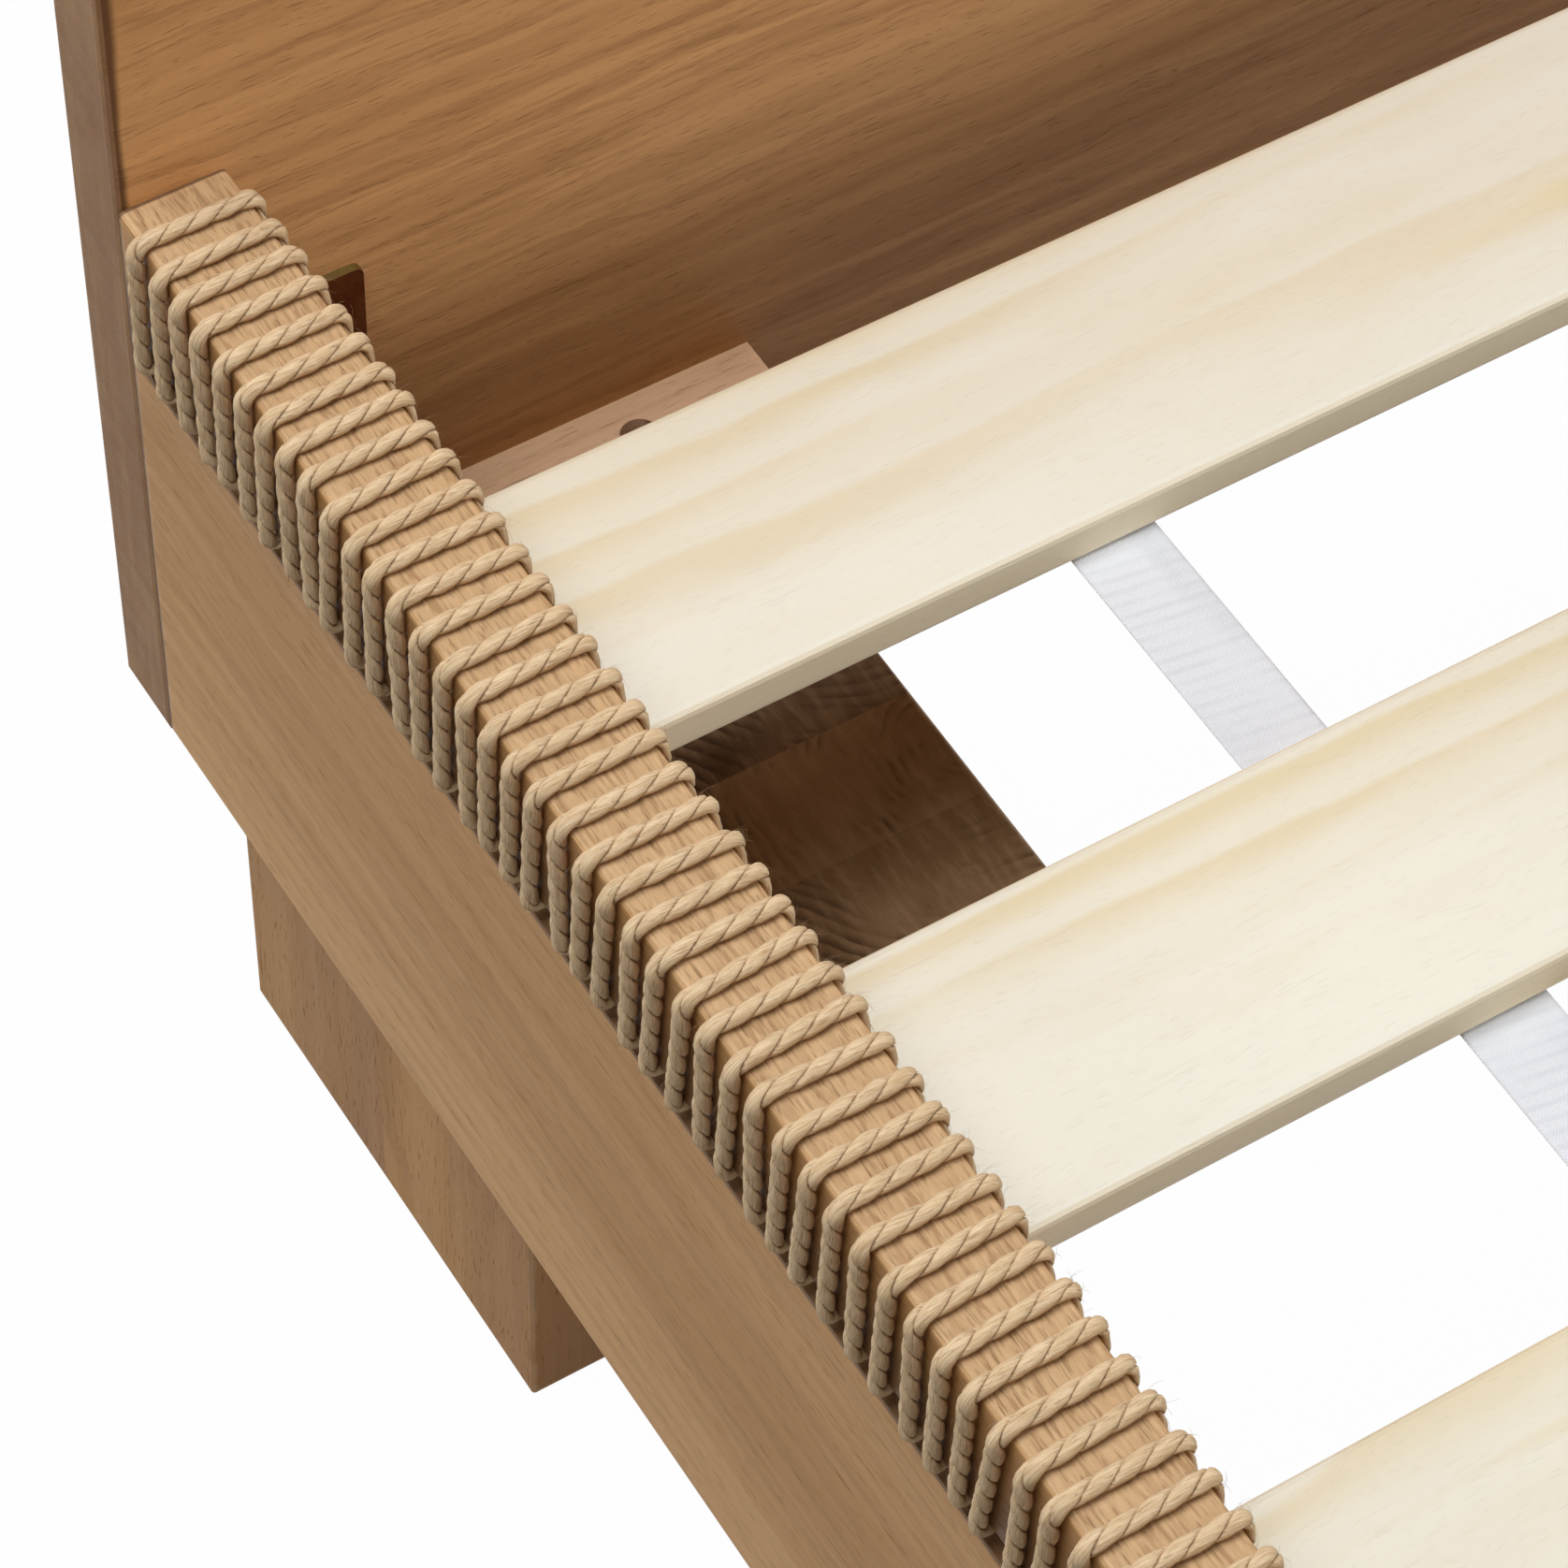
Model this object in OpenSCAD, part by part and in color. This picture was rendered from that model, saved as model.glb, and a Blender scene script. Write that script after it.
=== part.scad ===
// Rope bed: a low solid-wood bedstead whose side rails are wound with twisted cord.
// Lengths are in millimetres. +Y points to the head, +X to the right, +Z up,
// and the origin is on the floor under the middle of the bed.

/* [Mattress] */
// Width of the mattress
mattress_w = 1400; // [1200:100:1800]
// Length of the mattress
mattress_l = 2000; // [1900:50:2200]

/* [Boards] */
// Thickness of the side rails
rail_t = 35; // [32:1:40]
// Height of the side rails and of the footboard
rail_h = 247; // [235:1:270]
// Thickness of the headboard, the footboard and the cleats
board_t = 32; // [28:1:36]
// Height of the headboard's top edge above the rails
head_rise = 419; // [150:1:700]
// Height of the mattress support below the top of the rails
slat_drop = 83; // [75:1:90]

/* [Legs] */
// Height of a leg block, which is also the gap under the rails
leg_h = 134; // [100:1:200]
// Size of a leg block across the bed
leg_w = 200; // [160:5:220]
// Size of a leg block along the bed
leg_l = 186; // [160:2:210]
// Step from the outer face of the rail in to the leg
leg_inset = 14; // [5:1:20]
// Step from the inner face of the headboard or footboard to the leg
leg_set = 17; // [10:1:25]

/* [Slats] */
// Width of a slat
slat_w = 100; // [80:1:110]
// Thickness of a slat
slat_t = 17; // [15:1:20]
// Distance from the headboard to the first slat
first_slat = 83; // [60:1:87]
// Distance from one slat to the next, edge to the same edge
slat_pitch = 197; // [180:1:197]

/* [Rope winding] */
// Diameter of the cord
rope_d = 5.5; // [4:0.1:6]
// Distance from one turn to the next
rope_pitch = 12.5; // [10:0.1:16]
// Distance from the headboard to the middle of the first turn
first_turn = 16.5; // [14:0.5:20]
// Turns that are wound in full; a plain sleeve stands for the rest
full_turns = 24; // [8:1:24]
// Height of the wooden bar that the cord goes round
bar_h = 50; // [44:1:52]
// Height of the slot below the bar
slot_h = 11; // [9:0.5:12]

/* [Hidden] */
// Colours as the photograph shows them
oiled_wood = [0.60, 0.44, 0.29];
leg_wood = [0.52, 0.38, 0.26];
cleat_wood = [0.66, 0.50, 0.38];
pine = [0.92, 0.87, 0.77];
cord_colour = [0.83, 0.72, 0.55];
tape_colour = [0.95, 0.95, 0.95];
gilt_steel = [0.45, 0.38, 0.22];
black_steel = [0.13, 0.13, 0.14];

// Overall sizes
side_play = 10;
end_play = 5;
inner_w = mattress_w + 2 * side_play;
inner_l = mattress_l + 2 * end_play;
total_w = inner_w + 2 * rail_t;
rail_top = leg_h + rail_h;
slat_z = rail_top - slat_drop - slat_t;
last_gap = 50;
slat_count = floor((inner_l - first_slat - last_gap - slat_w) / slat_pitch) + 1;
edge_r = 3;
arc_steps = 3;

// Slot and winding
edge_ease = 2;
slot_end = first_turn - rope_d / 2 - 3;
wrap_gap = 0.2;
wrap_off = rope_d / 2 + wrap_gap;
sleeve_t = rope_d + 2 * wrap_gap;
turn_count = floor((inner_l - 2 * first_turn) / rope_pitch) + 1;
cord_hole_r = rope_d / 2 + 0.5;
cord_hole_depth = 12;
cord_hole_y = 7.5;
cord_hole_z = -22;
cord_sides = 6;

// Inner supports
cleat_h = 66;
end_cleat_l = 180;
leg_cleat_gap = 2;
leg_cleat_l = leg_set + leg_l - board_t - leg_cleat_gap;
ledger_h = 45;
ledger_end = 45;
beam_w = 45;
beam_h = 70;
centre_leg_w = 60;

// Steel parts
bracket_w = 41;
bracket_h = 100;
bracket_drop = bar_h + slot_h + 2;
bracket_t = 3;
bracket_corner_r = 3;
screw_hole_r = 2.6;
screw_pitch = 50;
shoe_t = 3;
shoe_reach = 60;
shoe_flange = 30;
bolt_r = 4;
bolt_play = 0.2;
bolt_head_r = 6.5;
bolt_head_h = 8;
socket_r = 3.46;
socket_depth = 4;
counterbore_r = 7.5;
counterbore_depth = 10;
nut_r = 6.5;
nut_l = 26;
nut_hole_depth = 47;
end_bolt_x = 165;
end_bolt_z = leg_h + 33;
leg_bolt_y = [leg_set + 52, leg_set + leg_l - 38];
leg_bolt_depth = 45;

// Webbing
tape_w = 30;
tape_t = 1.2;
tape_x = inner_w / 2 + rail_t - 230;
tape_end = 12;

// Every piece by name
function slat_name(i) = str("slat_", i < 10 ? "0" : "", i);

// Quarter round of a corner, from angle a on, about (x, y)
function quarter(x, y, r, a) =
    [for (i = [0 : arc_steps]) [x + r * cos(a + 90 * i / arc_steps), y + r * sin(a + 90 * i / arc_steps)]];

// Rectangle from (0, 0) to (w, h) with its lower and upper corners rounded
function eased(w, h, low, high) = concat(
    quarter(w - low, low, low, 270),
    quarter(w - high, h - high, high, 0),
    quarter(high, h - high, high, 90),
    quarter(low, low, low, 180));

// Board that runs along Y, with its four long edges eased
module long_board(w, l, h, low, high) {
    translate([0, l, 0])
        rotate([90, 0, 0])
            linear_extrude(l)
                polygon(eased(w, h, low, high));
}

// Board with all twelve edges eased
module soft_board(w, l, h, r) {
    intersection() {
        long_board(w, l, h, r, r);
        linear_extrude(h) polygon(eased(w, l, r, r));
        rotate([90, 0, 90]) linear_extrude(w) polygon(eased(l, h, r, r));
    }
}

// Bolt hole or shank along Z
module rod(r, l) {
    cylinder(r = r, h = l, $fn = 48);
}

// Places a shape made for the head's left corner at any corner. There, x runs from the
// rail's outer face inwards and y from the headboard's inner face back towards the foot.
module at_corner(side, end) {
    mirror([side > 0 ? 1 : 0, 0, 0])
        mirror([0, end > 0 ? 1 : 0, 0])
            translate([-total_w / 2, -inner_l / 2, 0])
                children();
}

// Socket-head bolt whose head stands on z = 0 and whose shank runs down
module bolt(l) {
    difference() {
        rod(bolt_head_r, bolt_head_h);
        translate([0, 0, bolt_head_h - socket_depth])
            cylinder(r = socket_r, h = socket_depth + 1, $fn = 6);
    }
    translate([0, 0, -l]) rod(bolt_r, l);
}

// ---- Boards ----

// Through hole with a counterbore for the bolt head in the outer face
module end_board_hole() {
    translate([end_bolt_x, -board_t - 1, end_bolt_z])
        rotate([-90, 0, 0]) {
            rod(bolt_r + bolt_play, board_t + 2);
            rod(counterbore_r, counterbore_depth + 1);
        }
}

module end_board(end, h) {
    color(oiled_wood)
        difference() {
            mirror([0, end > 0 ? 0 : 1, 0])
                translate([-total_w / 2, inner_l / 2, leg_h])
                    soft_board(total_w, board_t, h, edge_r);
            for (side = [-1, 1])
                at_corner(side, end) end_board_hole();
        }
}

module headboard() {
    end_board(1, rail_h + head_rise);
}

module footboard() {
    end_board(-1, rail_h);
}

// Outline of the long slot, seen from the side: y along the rail, z up
function slot_outline() =
    let (r = slot_h / 2, a = slot_end + r, b = inner_l - slot_end - r, z = rail_h - bar_h - r)
    concat(
        [for (i = [0 : 8]) [a - r * sin(180 * i / 8), z + r * cos(180 * i / 8)]],
        [for (i = [0 : 8]) [b + r * sin(180 * i / 8), z - r * cos(180 * i / 8)]]);

// Side rail with the slot for the winding and a blind hole for each end of the cord
module rail(side) {
    color(oiled_wood)
        mirror([side > 0 ? 1 : 0, 0, 0])
            translate([-total_w / 2, -inner_l / 2, leg_h])
                difference() {
                    long_board(rail_t, inner_l, rail_h, edge_r + 1, edge_ease);
                    translate([-1, 0, 0])
                        rotate([90, 0, 90])
                            linear_extrude(rail_t + 2)
                                polygon(slot_outline());
                    for (y = [cord_hole_y, inner_l - cord_hole_y])
                        translate([rail_t - cord_hole_depth, y, rail_h + cord_hole_z])
                            rotate([0, 90, 0])
                                rod(cord_hole_r, cord_hole_depth + 1);
                }
}

// ---- Legs, cleats and ledgers ----

// Leg block with blind holes for the two bolts
module leg(side, end) {
    color(leg_wood)
        at_corner(side, end)
            difference() {
                translate([leg_inset, leg_set, 0])
                    soft_board(leg_w, leg_l, leg_h, edge_r);
                for (y = leg_bolt_y)
                    translate([rail_t + board_t / 2, y, leg_h - leg_bolt_depth])
                        rod(bolt_r + bolt_play, leg_bolt_depth + 1);
            }
}

// Block on the headboard or footboard, bored for the bolt and its barrel nut
module end_cleat(side, end) {
    color(cleat_wood)
        at_corner(side, end)
            difference() {
                translate([rail_t, 0, leg_h])
                    cube([end_cleat_l, board_t, cleat_h]);
                translate([end_bolt_x, board_t / 2, leg_h + cleat_h - nut_hole_depth])
                    rod(nut_r, nut_hole_depth + 1);
                translate([end_bolt_x, -1, end_bolt_z])
                    rotate([-90, 0, 0])
                        rod(bolt_r + bolt_play, board_t - 4);
            }
}

// Block on the rail's inner face, bored for the two bolts that go down into the leg
module leg_cleat(side, end) {
    color(cleat_wood)
        at_corner(side, end)
            difference() {
                translate([rail_t, board_t + leg_cleat_gap, leg_h])
                    cube([board_t, leg_cleat_l, cleat_h]);
                for (y = leg_bolt_y)
                    translate([rail_t + board_t / 2, y, leg_h - 1])
                        rod(bolt_r + bolt_play, cleat_h + 2);
            }
}

// Ledger that carries the ends of the slats
module ledger(side) {
    color(cleat_wood)
        mirror([side > 0 ? 1 : 0, 0, 0])
            translate([-inner_w / 2, -inner_l / 2 + ledger_end, slat_z - ledger_h])
                cube([board_t, inner_l - 2 * ledger_end, ledger_h]);
}

module centre_beam() {
    color(cleat_wood)
        translate([-beam_w / 2, -inner_l / 2 + shoe_t, slat_z - beam_h])
            cube([beam_w, inner_l - 2 * shoe_t, beam_h]);
}

module centre_leg() {
    color(leg_wood)
        translate([-centre_leg_w / 2, -centre_leg_w / 2, 0])
            soft_board(centre_leg_w, centre_leg_w, slat_z - beam_h, edge_r);
}

// ---- Steel ----

// Flange of the corner bracket, in the X-Z plane, with its free corners rounded
module bracket_flange() {
    r = bracket_corner_r;
    rotate([90, 0, 0])
        linear_extrude(bracket_t)
            polygon(concat(
                [[0, 0]],
                quarter(bracket_w - r, r, r, 270),
                quarter(bracket_w - r, bracket_h - r, r, 0),
                [[0, bracket_h]]));
}

module bracket_screw_holes() {
    for (z = [-0.5, 0.5])
        translate([bracket_w * 0.55, 1, bracket_h / 2 + z * screw_pitch])
            rotate([90, 0, 0])
                rod(screw_hole_r, bracket_t + 2);
}

// Angle bracket in the corner between a rail and an end board
module bracket(side, end) {
    color(gilt_steel)
        at_corner(side, end)
            translate([rail_t, 0, rail_top - bracket_drop - bracket_h])
                difference() {
                    union() {
                        translate([0, bracket_t, 0]) bracket_flange();
                        mirror([-1, 1, 0]) translate([0, bracket_t, 0]) bracket_flange();
                    }
                    translate([0, bracket_t, 0]) bracket_screw_holes();
                    mirror([-1, 1, 0]) translate([0, bracket_t, 0]) bracket_screw_holes();
                }
}

// Steel shoe that holds an end of the centre beam against an end board
module beam_shoe(end) {
    w = beam_w + 2 * shoe_t;
    plate_w = w + 2 * shoe_flange;
    low = slat_z - beam_h - shoe_t;
    color(gilt_steel)
        mirror([0, end > 0 ? 1 : 0, 0])
            translate([0, -inner_l / 2, low])
                union() {
                    translate([-plate_w / 2, 0, 0])
                        cube([plate_w, shoe_t, beam_h]);
                    translate([-w / 2, 0, 0])
                        cube([w, shoe_reach, shoe_t]);
                    for (x = [-w / 2, beam_w / 2])
                        translate([x, 0, 0])
                            cube([shoe_t, shoe_reach, beam_h * 0.7]);
                }
}

// Bolts through the headboard and the footboard
module end_bolts() {
    color(black_steel)
        for (side = [-1, 1], end = [-1, 1])
            at_corner(side, end)
                translate([end_bolt_x, counterbore_depth - board_t, end_bolt_z])
                    rotate([90, 0, 0])
                        bolt(board_t - counterbore_depth + board_t / 2 + nut_r - 1);
}

// Barrel nuts, each crossed by its bolt hole
module barrel_nuts() {
    color(black_steel)
        for (side = [-1, 1], end = [-1, 1])
            at_corner(side, end)
                translate([end_bolt_x, board_t / 2, end_bolt_z])
                    difference() {
                        translate([0, 0, -nut_l / 2])
                            rod(nut_r - bolt_play, nut_l);
                        rotate([90, 0, 0])
                            translate([0, 0, -nut_r * 2])
                                rod(bolt_r + bolt_play / 2, nut_r * 4);
                    }
}

// Bolts down through the leg cleats
module leg_bolts() {
    color(black_steel)
        for (side = [-1, 1], end = [-1, 1], y = leg_bolt_y)
            at_corner(side, end)
                translate([rail_t + board_t / 2, y, leg_h + cleat_h])
                    bolt(cleat_h + leg_bolt_depth - 5);
}

// ---- Rope winding ----

// The winding's route is drawn for the left rail's head end. There, x runs from the outer
// face inwards, y is minus the distance from the headboard, and z = 0 is the rail's top.

// Points of a bend of radius r about (x, z), clockwise from angle a, in the given steps
function bend(x, z, r, a, steps) =
    [for (i = [0 : steps]) let (t = a - 90 * i / steps) [x + r * cos(t), z + r * sin(t)]];

// One turn in the X-Z plane: up the outer face, over the top, down the inner face, under
turn_xz = concat(
    bend(0, -bar_h, wrap_off, 270, 2),
    bend(edge_ease, -edge_ease, edge_ease + wrap_off, 180, 3),
    bend(rail_t - edge_ease, -edge_ease, edge_ease + wrap_off, 90, 3),
    bend(rail_t, -bar_h, wrap_off, 0, 2));
turn_rings = len(turn_xz);

// The cord crosses the outer face and the top square, and steps to the next turn as it
// comes down the inner face and under the bar. This is the share of the step at each ring.
step_share = [0, 0, 0, 0, 0, 0, 0, 0, 0, 0, 0, 0.80, 0.83, 0.86];
rings_to_top = 7;

// The start of the cord, straight out of its hole in the bar and down to the slot
hole_run = 0.3;
start_route = let (r = edge_ease + wrap_off, x = rail_t + hole_run) concat(
    [[rail_t - cord_hole_depth, -cord_hole_y, cord_hole_z]],
    [for (p = bend(x, cord_hole_z - r, r, 90, 3)) [p[0], -cord_hole_y, p[1]]],
    [for (p = bend(rail_t, -bar_h, wrap_off, 0, 2)) [p[0], -first_turn, p[1]]]);

turns_route = [for (n = [0 : full_turns - 1], i = [0 : turn_rings - 1])
    if (n < full_turns - 1 || i < rings_to_top)
        [turn_xz[i][0], -first_turn - rope_pitch * (n + step_share[i]), turn_xz[i][1]]];

// The end of the wound stretch turns along the bar's top and meets the sleeve square
last_y = -first_turn - rope_pitch * (full_turns - 1);
end_r = wrap_off + edge_ease;
end_x = rail_t / 2;
end_route = concat(
    [for (t = [0, 45, 90]) [end_x + end_r * sin(t), last_y - end_r + end_r * cos(t), wrap_off]],
    [[end_x + end_r, last_y - end_r - rope_d, wrap_off]]);
sleeve_start = -last_y + end_r + rope_d;
sleeve_end = first_turn + rope_pitch * (turn_count - 1);

route = concat(start_route, turns_route, end_route);

// Unit direction along the route at ring i
function along(i) =
    let (a = route[max(i - 1, 0)], b = route[min(i + 1, len(route) - 1)])
    (b - a) / norm(b - a);

// Direction from the bar out through ring i; the last rings all lie on the bar's top
function outward(i) =
    let (s = i < len(route) - len(end_route) ? cross(along(i), [0, 1, 0]) : [0, 0, 1])
    s / norm(s);

function ring(i) =
    let (s = outward(i), u = cross(s, along(i)))
    [for (k = [0 : cord_sides - 1])
        route[i] + rope_d / 2 * (cos(360 * k / cord_sides) * s + sin(360 * k / cord_sides) * u)];

// Tube swept through all the rings, closed by a fan at each end
module cord_tube() {
    n = len(route);
    points = [for (i = [0 : n - 1]) each ring(i)];
    sides = [for (i = [0 : n - 2], k = [0 : cord_sides - 1])
        let (a = i * cord_sides + k, b = i * cord_sides + (k + 1) % cord_sides)
        each [[a, b, b + cord_sides], [a, b + cord_sides, a + cord_sides]]];
    first = [for (k = [1 : cord_sides - 2]) [0, k + 1, k]];
    last = [for (k = [1 : cord_sides - 2])
        (n - 1) * cord_sides * [1, 1, 1] + [0, k, k + 1]];
    polyhedron(points, concat(sides, first, last));
}

// Least gap between the turns, measured from each point of the route to points spread
// along the later segments, from half a turn on to two turns on
function least_gap() = min([
    for (i = [0 : len(route) - turn_rings],
         j = [i + turn_rings / 2 : min(i + 2 * turn_rings, len(route) - 2)],
         f = [0 : 0.25 : 1])
        norm(route[i] - (route[j] * (1 - f) + route[j + 1] * f))]) - rope_d;
echo(least_gap_between_turns = least_gap());

module rope_side(side) {
    mirror([side > 0 ? 1 : 0, 0, 0])
        translate([-total_w / 2, inner_l / 2, rail_top])
            children();
}

module rope_turns(side) {
    color(cord_colour)
        rope_side(side) cord_tube();
}

// Section of the bar, from its lower outer corner
function bar_outline() = concat(
    [[0, 0], [rail_t, 0]],
    quarter(rail_t - edge_ease, bar_h - edge_ease, edge_ease, 0),
    quarter(edge_ease, bar_h - edge_ease, edge_ease, 90));

// Plain sleeve of the winding's outer size, for the turns after the full ones
module rope_sleeve(side) {
    l = sleeve_end - sleeve_start;
    color(cord_colour)
        rope_side(side)
            translate([0, -sleeve_start, 0])
                rotate([90, 0, 0])
                    linear_extrude(l)
                        difference() {
                            translate([-sleeve_t, -bar_h - sleeve_t])
                                polygon(eased(rail_t + 2 * sleeve_t, bar_h + 2 * sleeve_t,
                                    sleeve_t, sleeve_t + edge_ease));
                            translate([0, -bar_h])
                                polygon(bar_outline());
                        }
}

// ---- Slats and webbing ----

module slat(i) {
    l = mattress_w - 4;
    color(pine)
        translate([-l / 2, inner_l / 2 - first_slat - slat_w - (i - 1) * slat_pitch, slat_z])
            rotate([90, 0, 90])
                linear_extrude(l)
                    polygon(eased(slat_w, slat_t, edge_r, edge_r));
}

// Tape under the slats that keeps them apart
module webbing(side) {
    l = slat_pitch * (slat_count - 1) + slat_w - 2 * tape_end;
    color(tape_colour)
        translate([side * tape_x - tape_w / 2, inner_l / 2 - first_slat - tape_end - l, slat_z - tape_t])
            cube([tape_w, l, tape_t]);
}

headboard();
footboard();
rail(-1);  // left_rail
rail(1);  // right_rail
leg(-1, 1);  // head_left_leg
leg(1, 1);  // head_right_leg
leg(-1, -1);  // foot_left_leg
leg(1, -1);  // foot_right_leg
end_cleat(-1, 1);  // head_left_end_cleat
end_cleat(1, 1);  // head_right_end_cleat
end_cleat(-1, -1);  // foot_left_end_cleat
end_cleat(1, -1);  // foot_right_end_cleat
leg_cleat(-1, 1);  // head_left_leg_cleat
leg_cleat(1, 1);  // head_right_leg_cleat
leg_cleat(-1, -1);  // foot_left_leg_cleat
leg_cleat(1, -1);  // foot_right_leg_cleat
bracket(-1, 1);  // head_left_bracket
bracket(1, 1);  // head_right_bracket
bracket(-1, -1);  // foot_left_bracket
bracket(1, -1);  // foot_right_bracket
ledger(-1);  // left_slat_ledger
ledger(1);  // right_slat_ledger
centre_beam();
beam_shoe(1);  // head_beam_shoe
beam_shoe(-1);  // foot_beam_shoe
centre_leg();
end_bolts();
barrel_nuts();
leg_bolts();
rope_turns(-1);  // left_rope_turns
rope_turns(1);  // right_rope_turns
rope_sleeve(-1);  // left_rope_sleeve
rope_sleeve(1);  // right_rope_sleeve
webbing(-1);  // left_webbing
webbing(1);  // right_webbing
for (i = [1 : slat_count])
    slat(i);
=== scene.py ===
import math

import bpy
import numpy as np
from mathutils import Matrix, Vector


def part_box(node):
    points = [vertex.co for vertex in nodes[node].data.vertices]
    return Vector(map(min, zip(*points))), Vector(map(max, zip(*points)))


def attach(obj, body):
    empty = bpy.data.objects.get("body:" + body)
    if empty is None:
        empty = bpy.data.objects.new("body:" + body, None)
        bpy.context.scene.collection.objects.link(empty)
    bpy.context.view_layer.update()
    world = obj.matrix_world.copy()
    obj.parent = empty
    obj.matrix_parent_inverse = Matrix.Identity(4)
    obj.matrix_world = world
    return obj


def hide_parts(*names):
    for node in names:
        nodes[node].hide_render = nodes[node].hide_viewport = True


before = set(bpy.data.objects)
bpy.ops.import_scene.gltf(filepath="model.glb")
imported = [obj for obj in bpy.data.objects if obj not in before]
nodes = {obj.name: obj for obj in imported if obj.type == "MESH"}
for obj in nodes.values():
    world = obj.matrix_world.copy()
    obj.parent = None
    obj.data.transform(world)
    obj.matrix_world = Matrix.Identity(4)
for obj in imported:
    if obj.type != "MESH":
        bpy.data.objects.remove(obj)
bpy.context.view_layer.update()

# Rope bed in metres: +Y is the head end, +X the right side, +Z up.

mm = 0.001
print("stage: frame loaded,", len(nodes), "solids")


def shade(red, green, blue):
    # a screen colour from 0 to 255, as the linear value that Blender works with
    return tuple(((c / 255 + 0.055) / 1.055) ** 2.4 for c in (red, green, blue)) + (1.0,)


def fill(tree, node, values):
    for key, value in values.items():
        if isinstance(value, bpy.types.NodeSocket):
            tree.links.new(value, node.inputs[key])
        else:
            node.inputs[key].default_value = value
    return node


def addNode(tree, kind, values=None, **settings):
    node = tree.nodes.new(kind)
    for name, value in settings.items():
        setattr(node, name, value)
    return fill(tree, node, values or {})


def calc(tree, operation, *terms):
    return addNode(tree, "ShaderNodeMath", dict(enumerate(terms)), operation=operation).outputs[0]


def vectorCalc(tree, operation, *terms):
    return addNode(tree, "ShaderNodeVectorMath", dict(enumerate(terms)), operation=operation).outputs[0]


def noise(tree, vector, stretch, detail, rough, twist=0.0):
    spot = addNode(tree, "ShaderNodeMapping", {"Vector": vector, "Scale": stretch}).outputs[0]
    return addNode(tree, "ShaderNodeTexNoise", {"Vector": spot, "Scale": 1.0, "Detail": detail,
                                                "Roughness": rough, "Distortion": twist}).outputs[0]


def smooth(tree, value, low, high, start=0.0, end=1.0):
    # start below low, end above high, and a soft step between them
    return addNode(tree, "ShaderNodeMapRange",
                   {"Value": value, "From Min": low, "From Max": high, "To Min": start, "To Max": end},
                   interpolation_type="SMOOTHSTEP").outputs[0]


def blendColour(tree, factor, first, second):
    return addNode(tree, "ShaderNodeMix", {0: factor, 6: first, 7: second}, data_type="RGBA").outputs[2]


def join(tree, x, y, z):
    return addNode(tree, "ShaderNodeCombineXYZ", {0: x, 1: y, 2: z}).outputs[0]


def split(tree, vector):
    return addNode(tree, "ShaderNodeSeparateXYZ", {0: vector}).outputs


def newGroup(name, inputs, outputs):
    tree = bpy.data.node_groups.new(name, "ShaderNodeTree")
    for label, value in inputs.items():
        kind = "NodeSocketVector" if isinstance(value, tuple) else "NodeSocketFloat"
        tree.interface.new_socket(name=label, in_out="INPUT", socket_type=kind).default_value = value
    for label in outputs:
        tree.interface.new_socket(name=label, in_out="OUTPUT", socket_type="NodeSocketFloat")
    return tree, tree.nodes.new("NodeGroupInput").outputs, tree.nodes.new("NodeGroupOutput")


def placeGroup(tree, group, values):
    node = tree.nodes.new("ShaderNodeGroup")
    node.node_tree = group
    return fill(tree, node, values).outputs


def emptyTree(owner):
    owner.use_nodes = True
    owner.node_tree.nodes.clear()
    return owner.node_tree


def newMaterial(name):
    material = bpy.data.materials.new(name)
    tree = emptyTree(material)
    shader = tree.nodes.new("ShaderNodeBsdfPrincipled")
    tree.links.new(shader.outputs[0], tree.nodes.new("ShaderNodeOutputMaterial").inputs[0])
    return material, tree, shader


def bump(tree, height, distance):
    return addNode(tree, "ShaderNodeBump", {"Height": height, "Distance": distance}).outputs[0]


def ringQuads(rings, count, base=0):
    # the side faces of a tube whose points come in rings of count, one ring after the other
    return [(base + i * count + k, base + i * count + (k + 1) % count,
             base + (i + 1) * count + (k + 1) % count, base + (i + 1) * count + k)
            for i in range(rings - 1) for k in range(count)]


def tubeFaces(rings, count, base=0):
    # the same with both ends closed
    last = base + (rings - 1) * count
    ends = [tuple(range(base, base + count))[::-1], tuple(range(last, last + count))]
    return ringQuads(rings, count, base) + ends


# Camera, floor and lights

studio = {
    "eye": (-1.18188, -0.00971, 1.58204),
    "heading": 0.5857762,       # radians from +Y towards +X
    "dip": 0.9312821,           # radians below the horizon
    "roll": 0.0405063,
    "lens": 129.45, "sensor": 36, "nearest": 0.05, "furthest": 60,
    "lampSize": 1.2, "lampPlace": (-1.1, 0.8, 2.4), "lampWatts": 39.5, "lampTint": (0.98, 0.99, 1.0),
    "fillSize": 2.5, "fillPlace": (2.0, -2.6, 1.5), "fillWatts": 55.0, "fillTint": (1.0, 0.98, 0.95),
    "sideSize": 0.8, "sidePlace": (-2.0, 2.5, 1.2), "sideWatts": 13.0, "sideTint": (1.0, 0.97, 0.92),
    "litPoint": (0, 0.3, 0.3),  # what the three panels face
    "skyGlow": 0.20, "skyTint": (1.0, 0.94, 0.85),
    "floorHalf": 9.0, "floorDrop": 0.0004, "floorTone": 0.42,
    "floorWhite": 0.985,        # how much of the floor's look is plain white
}
white = (1, 1, 1, 1)


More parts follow.
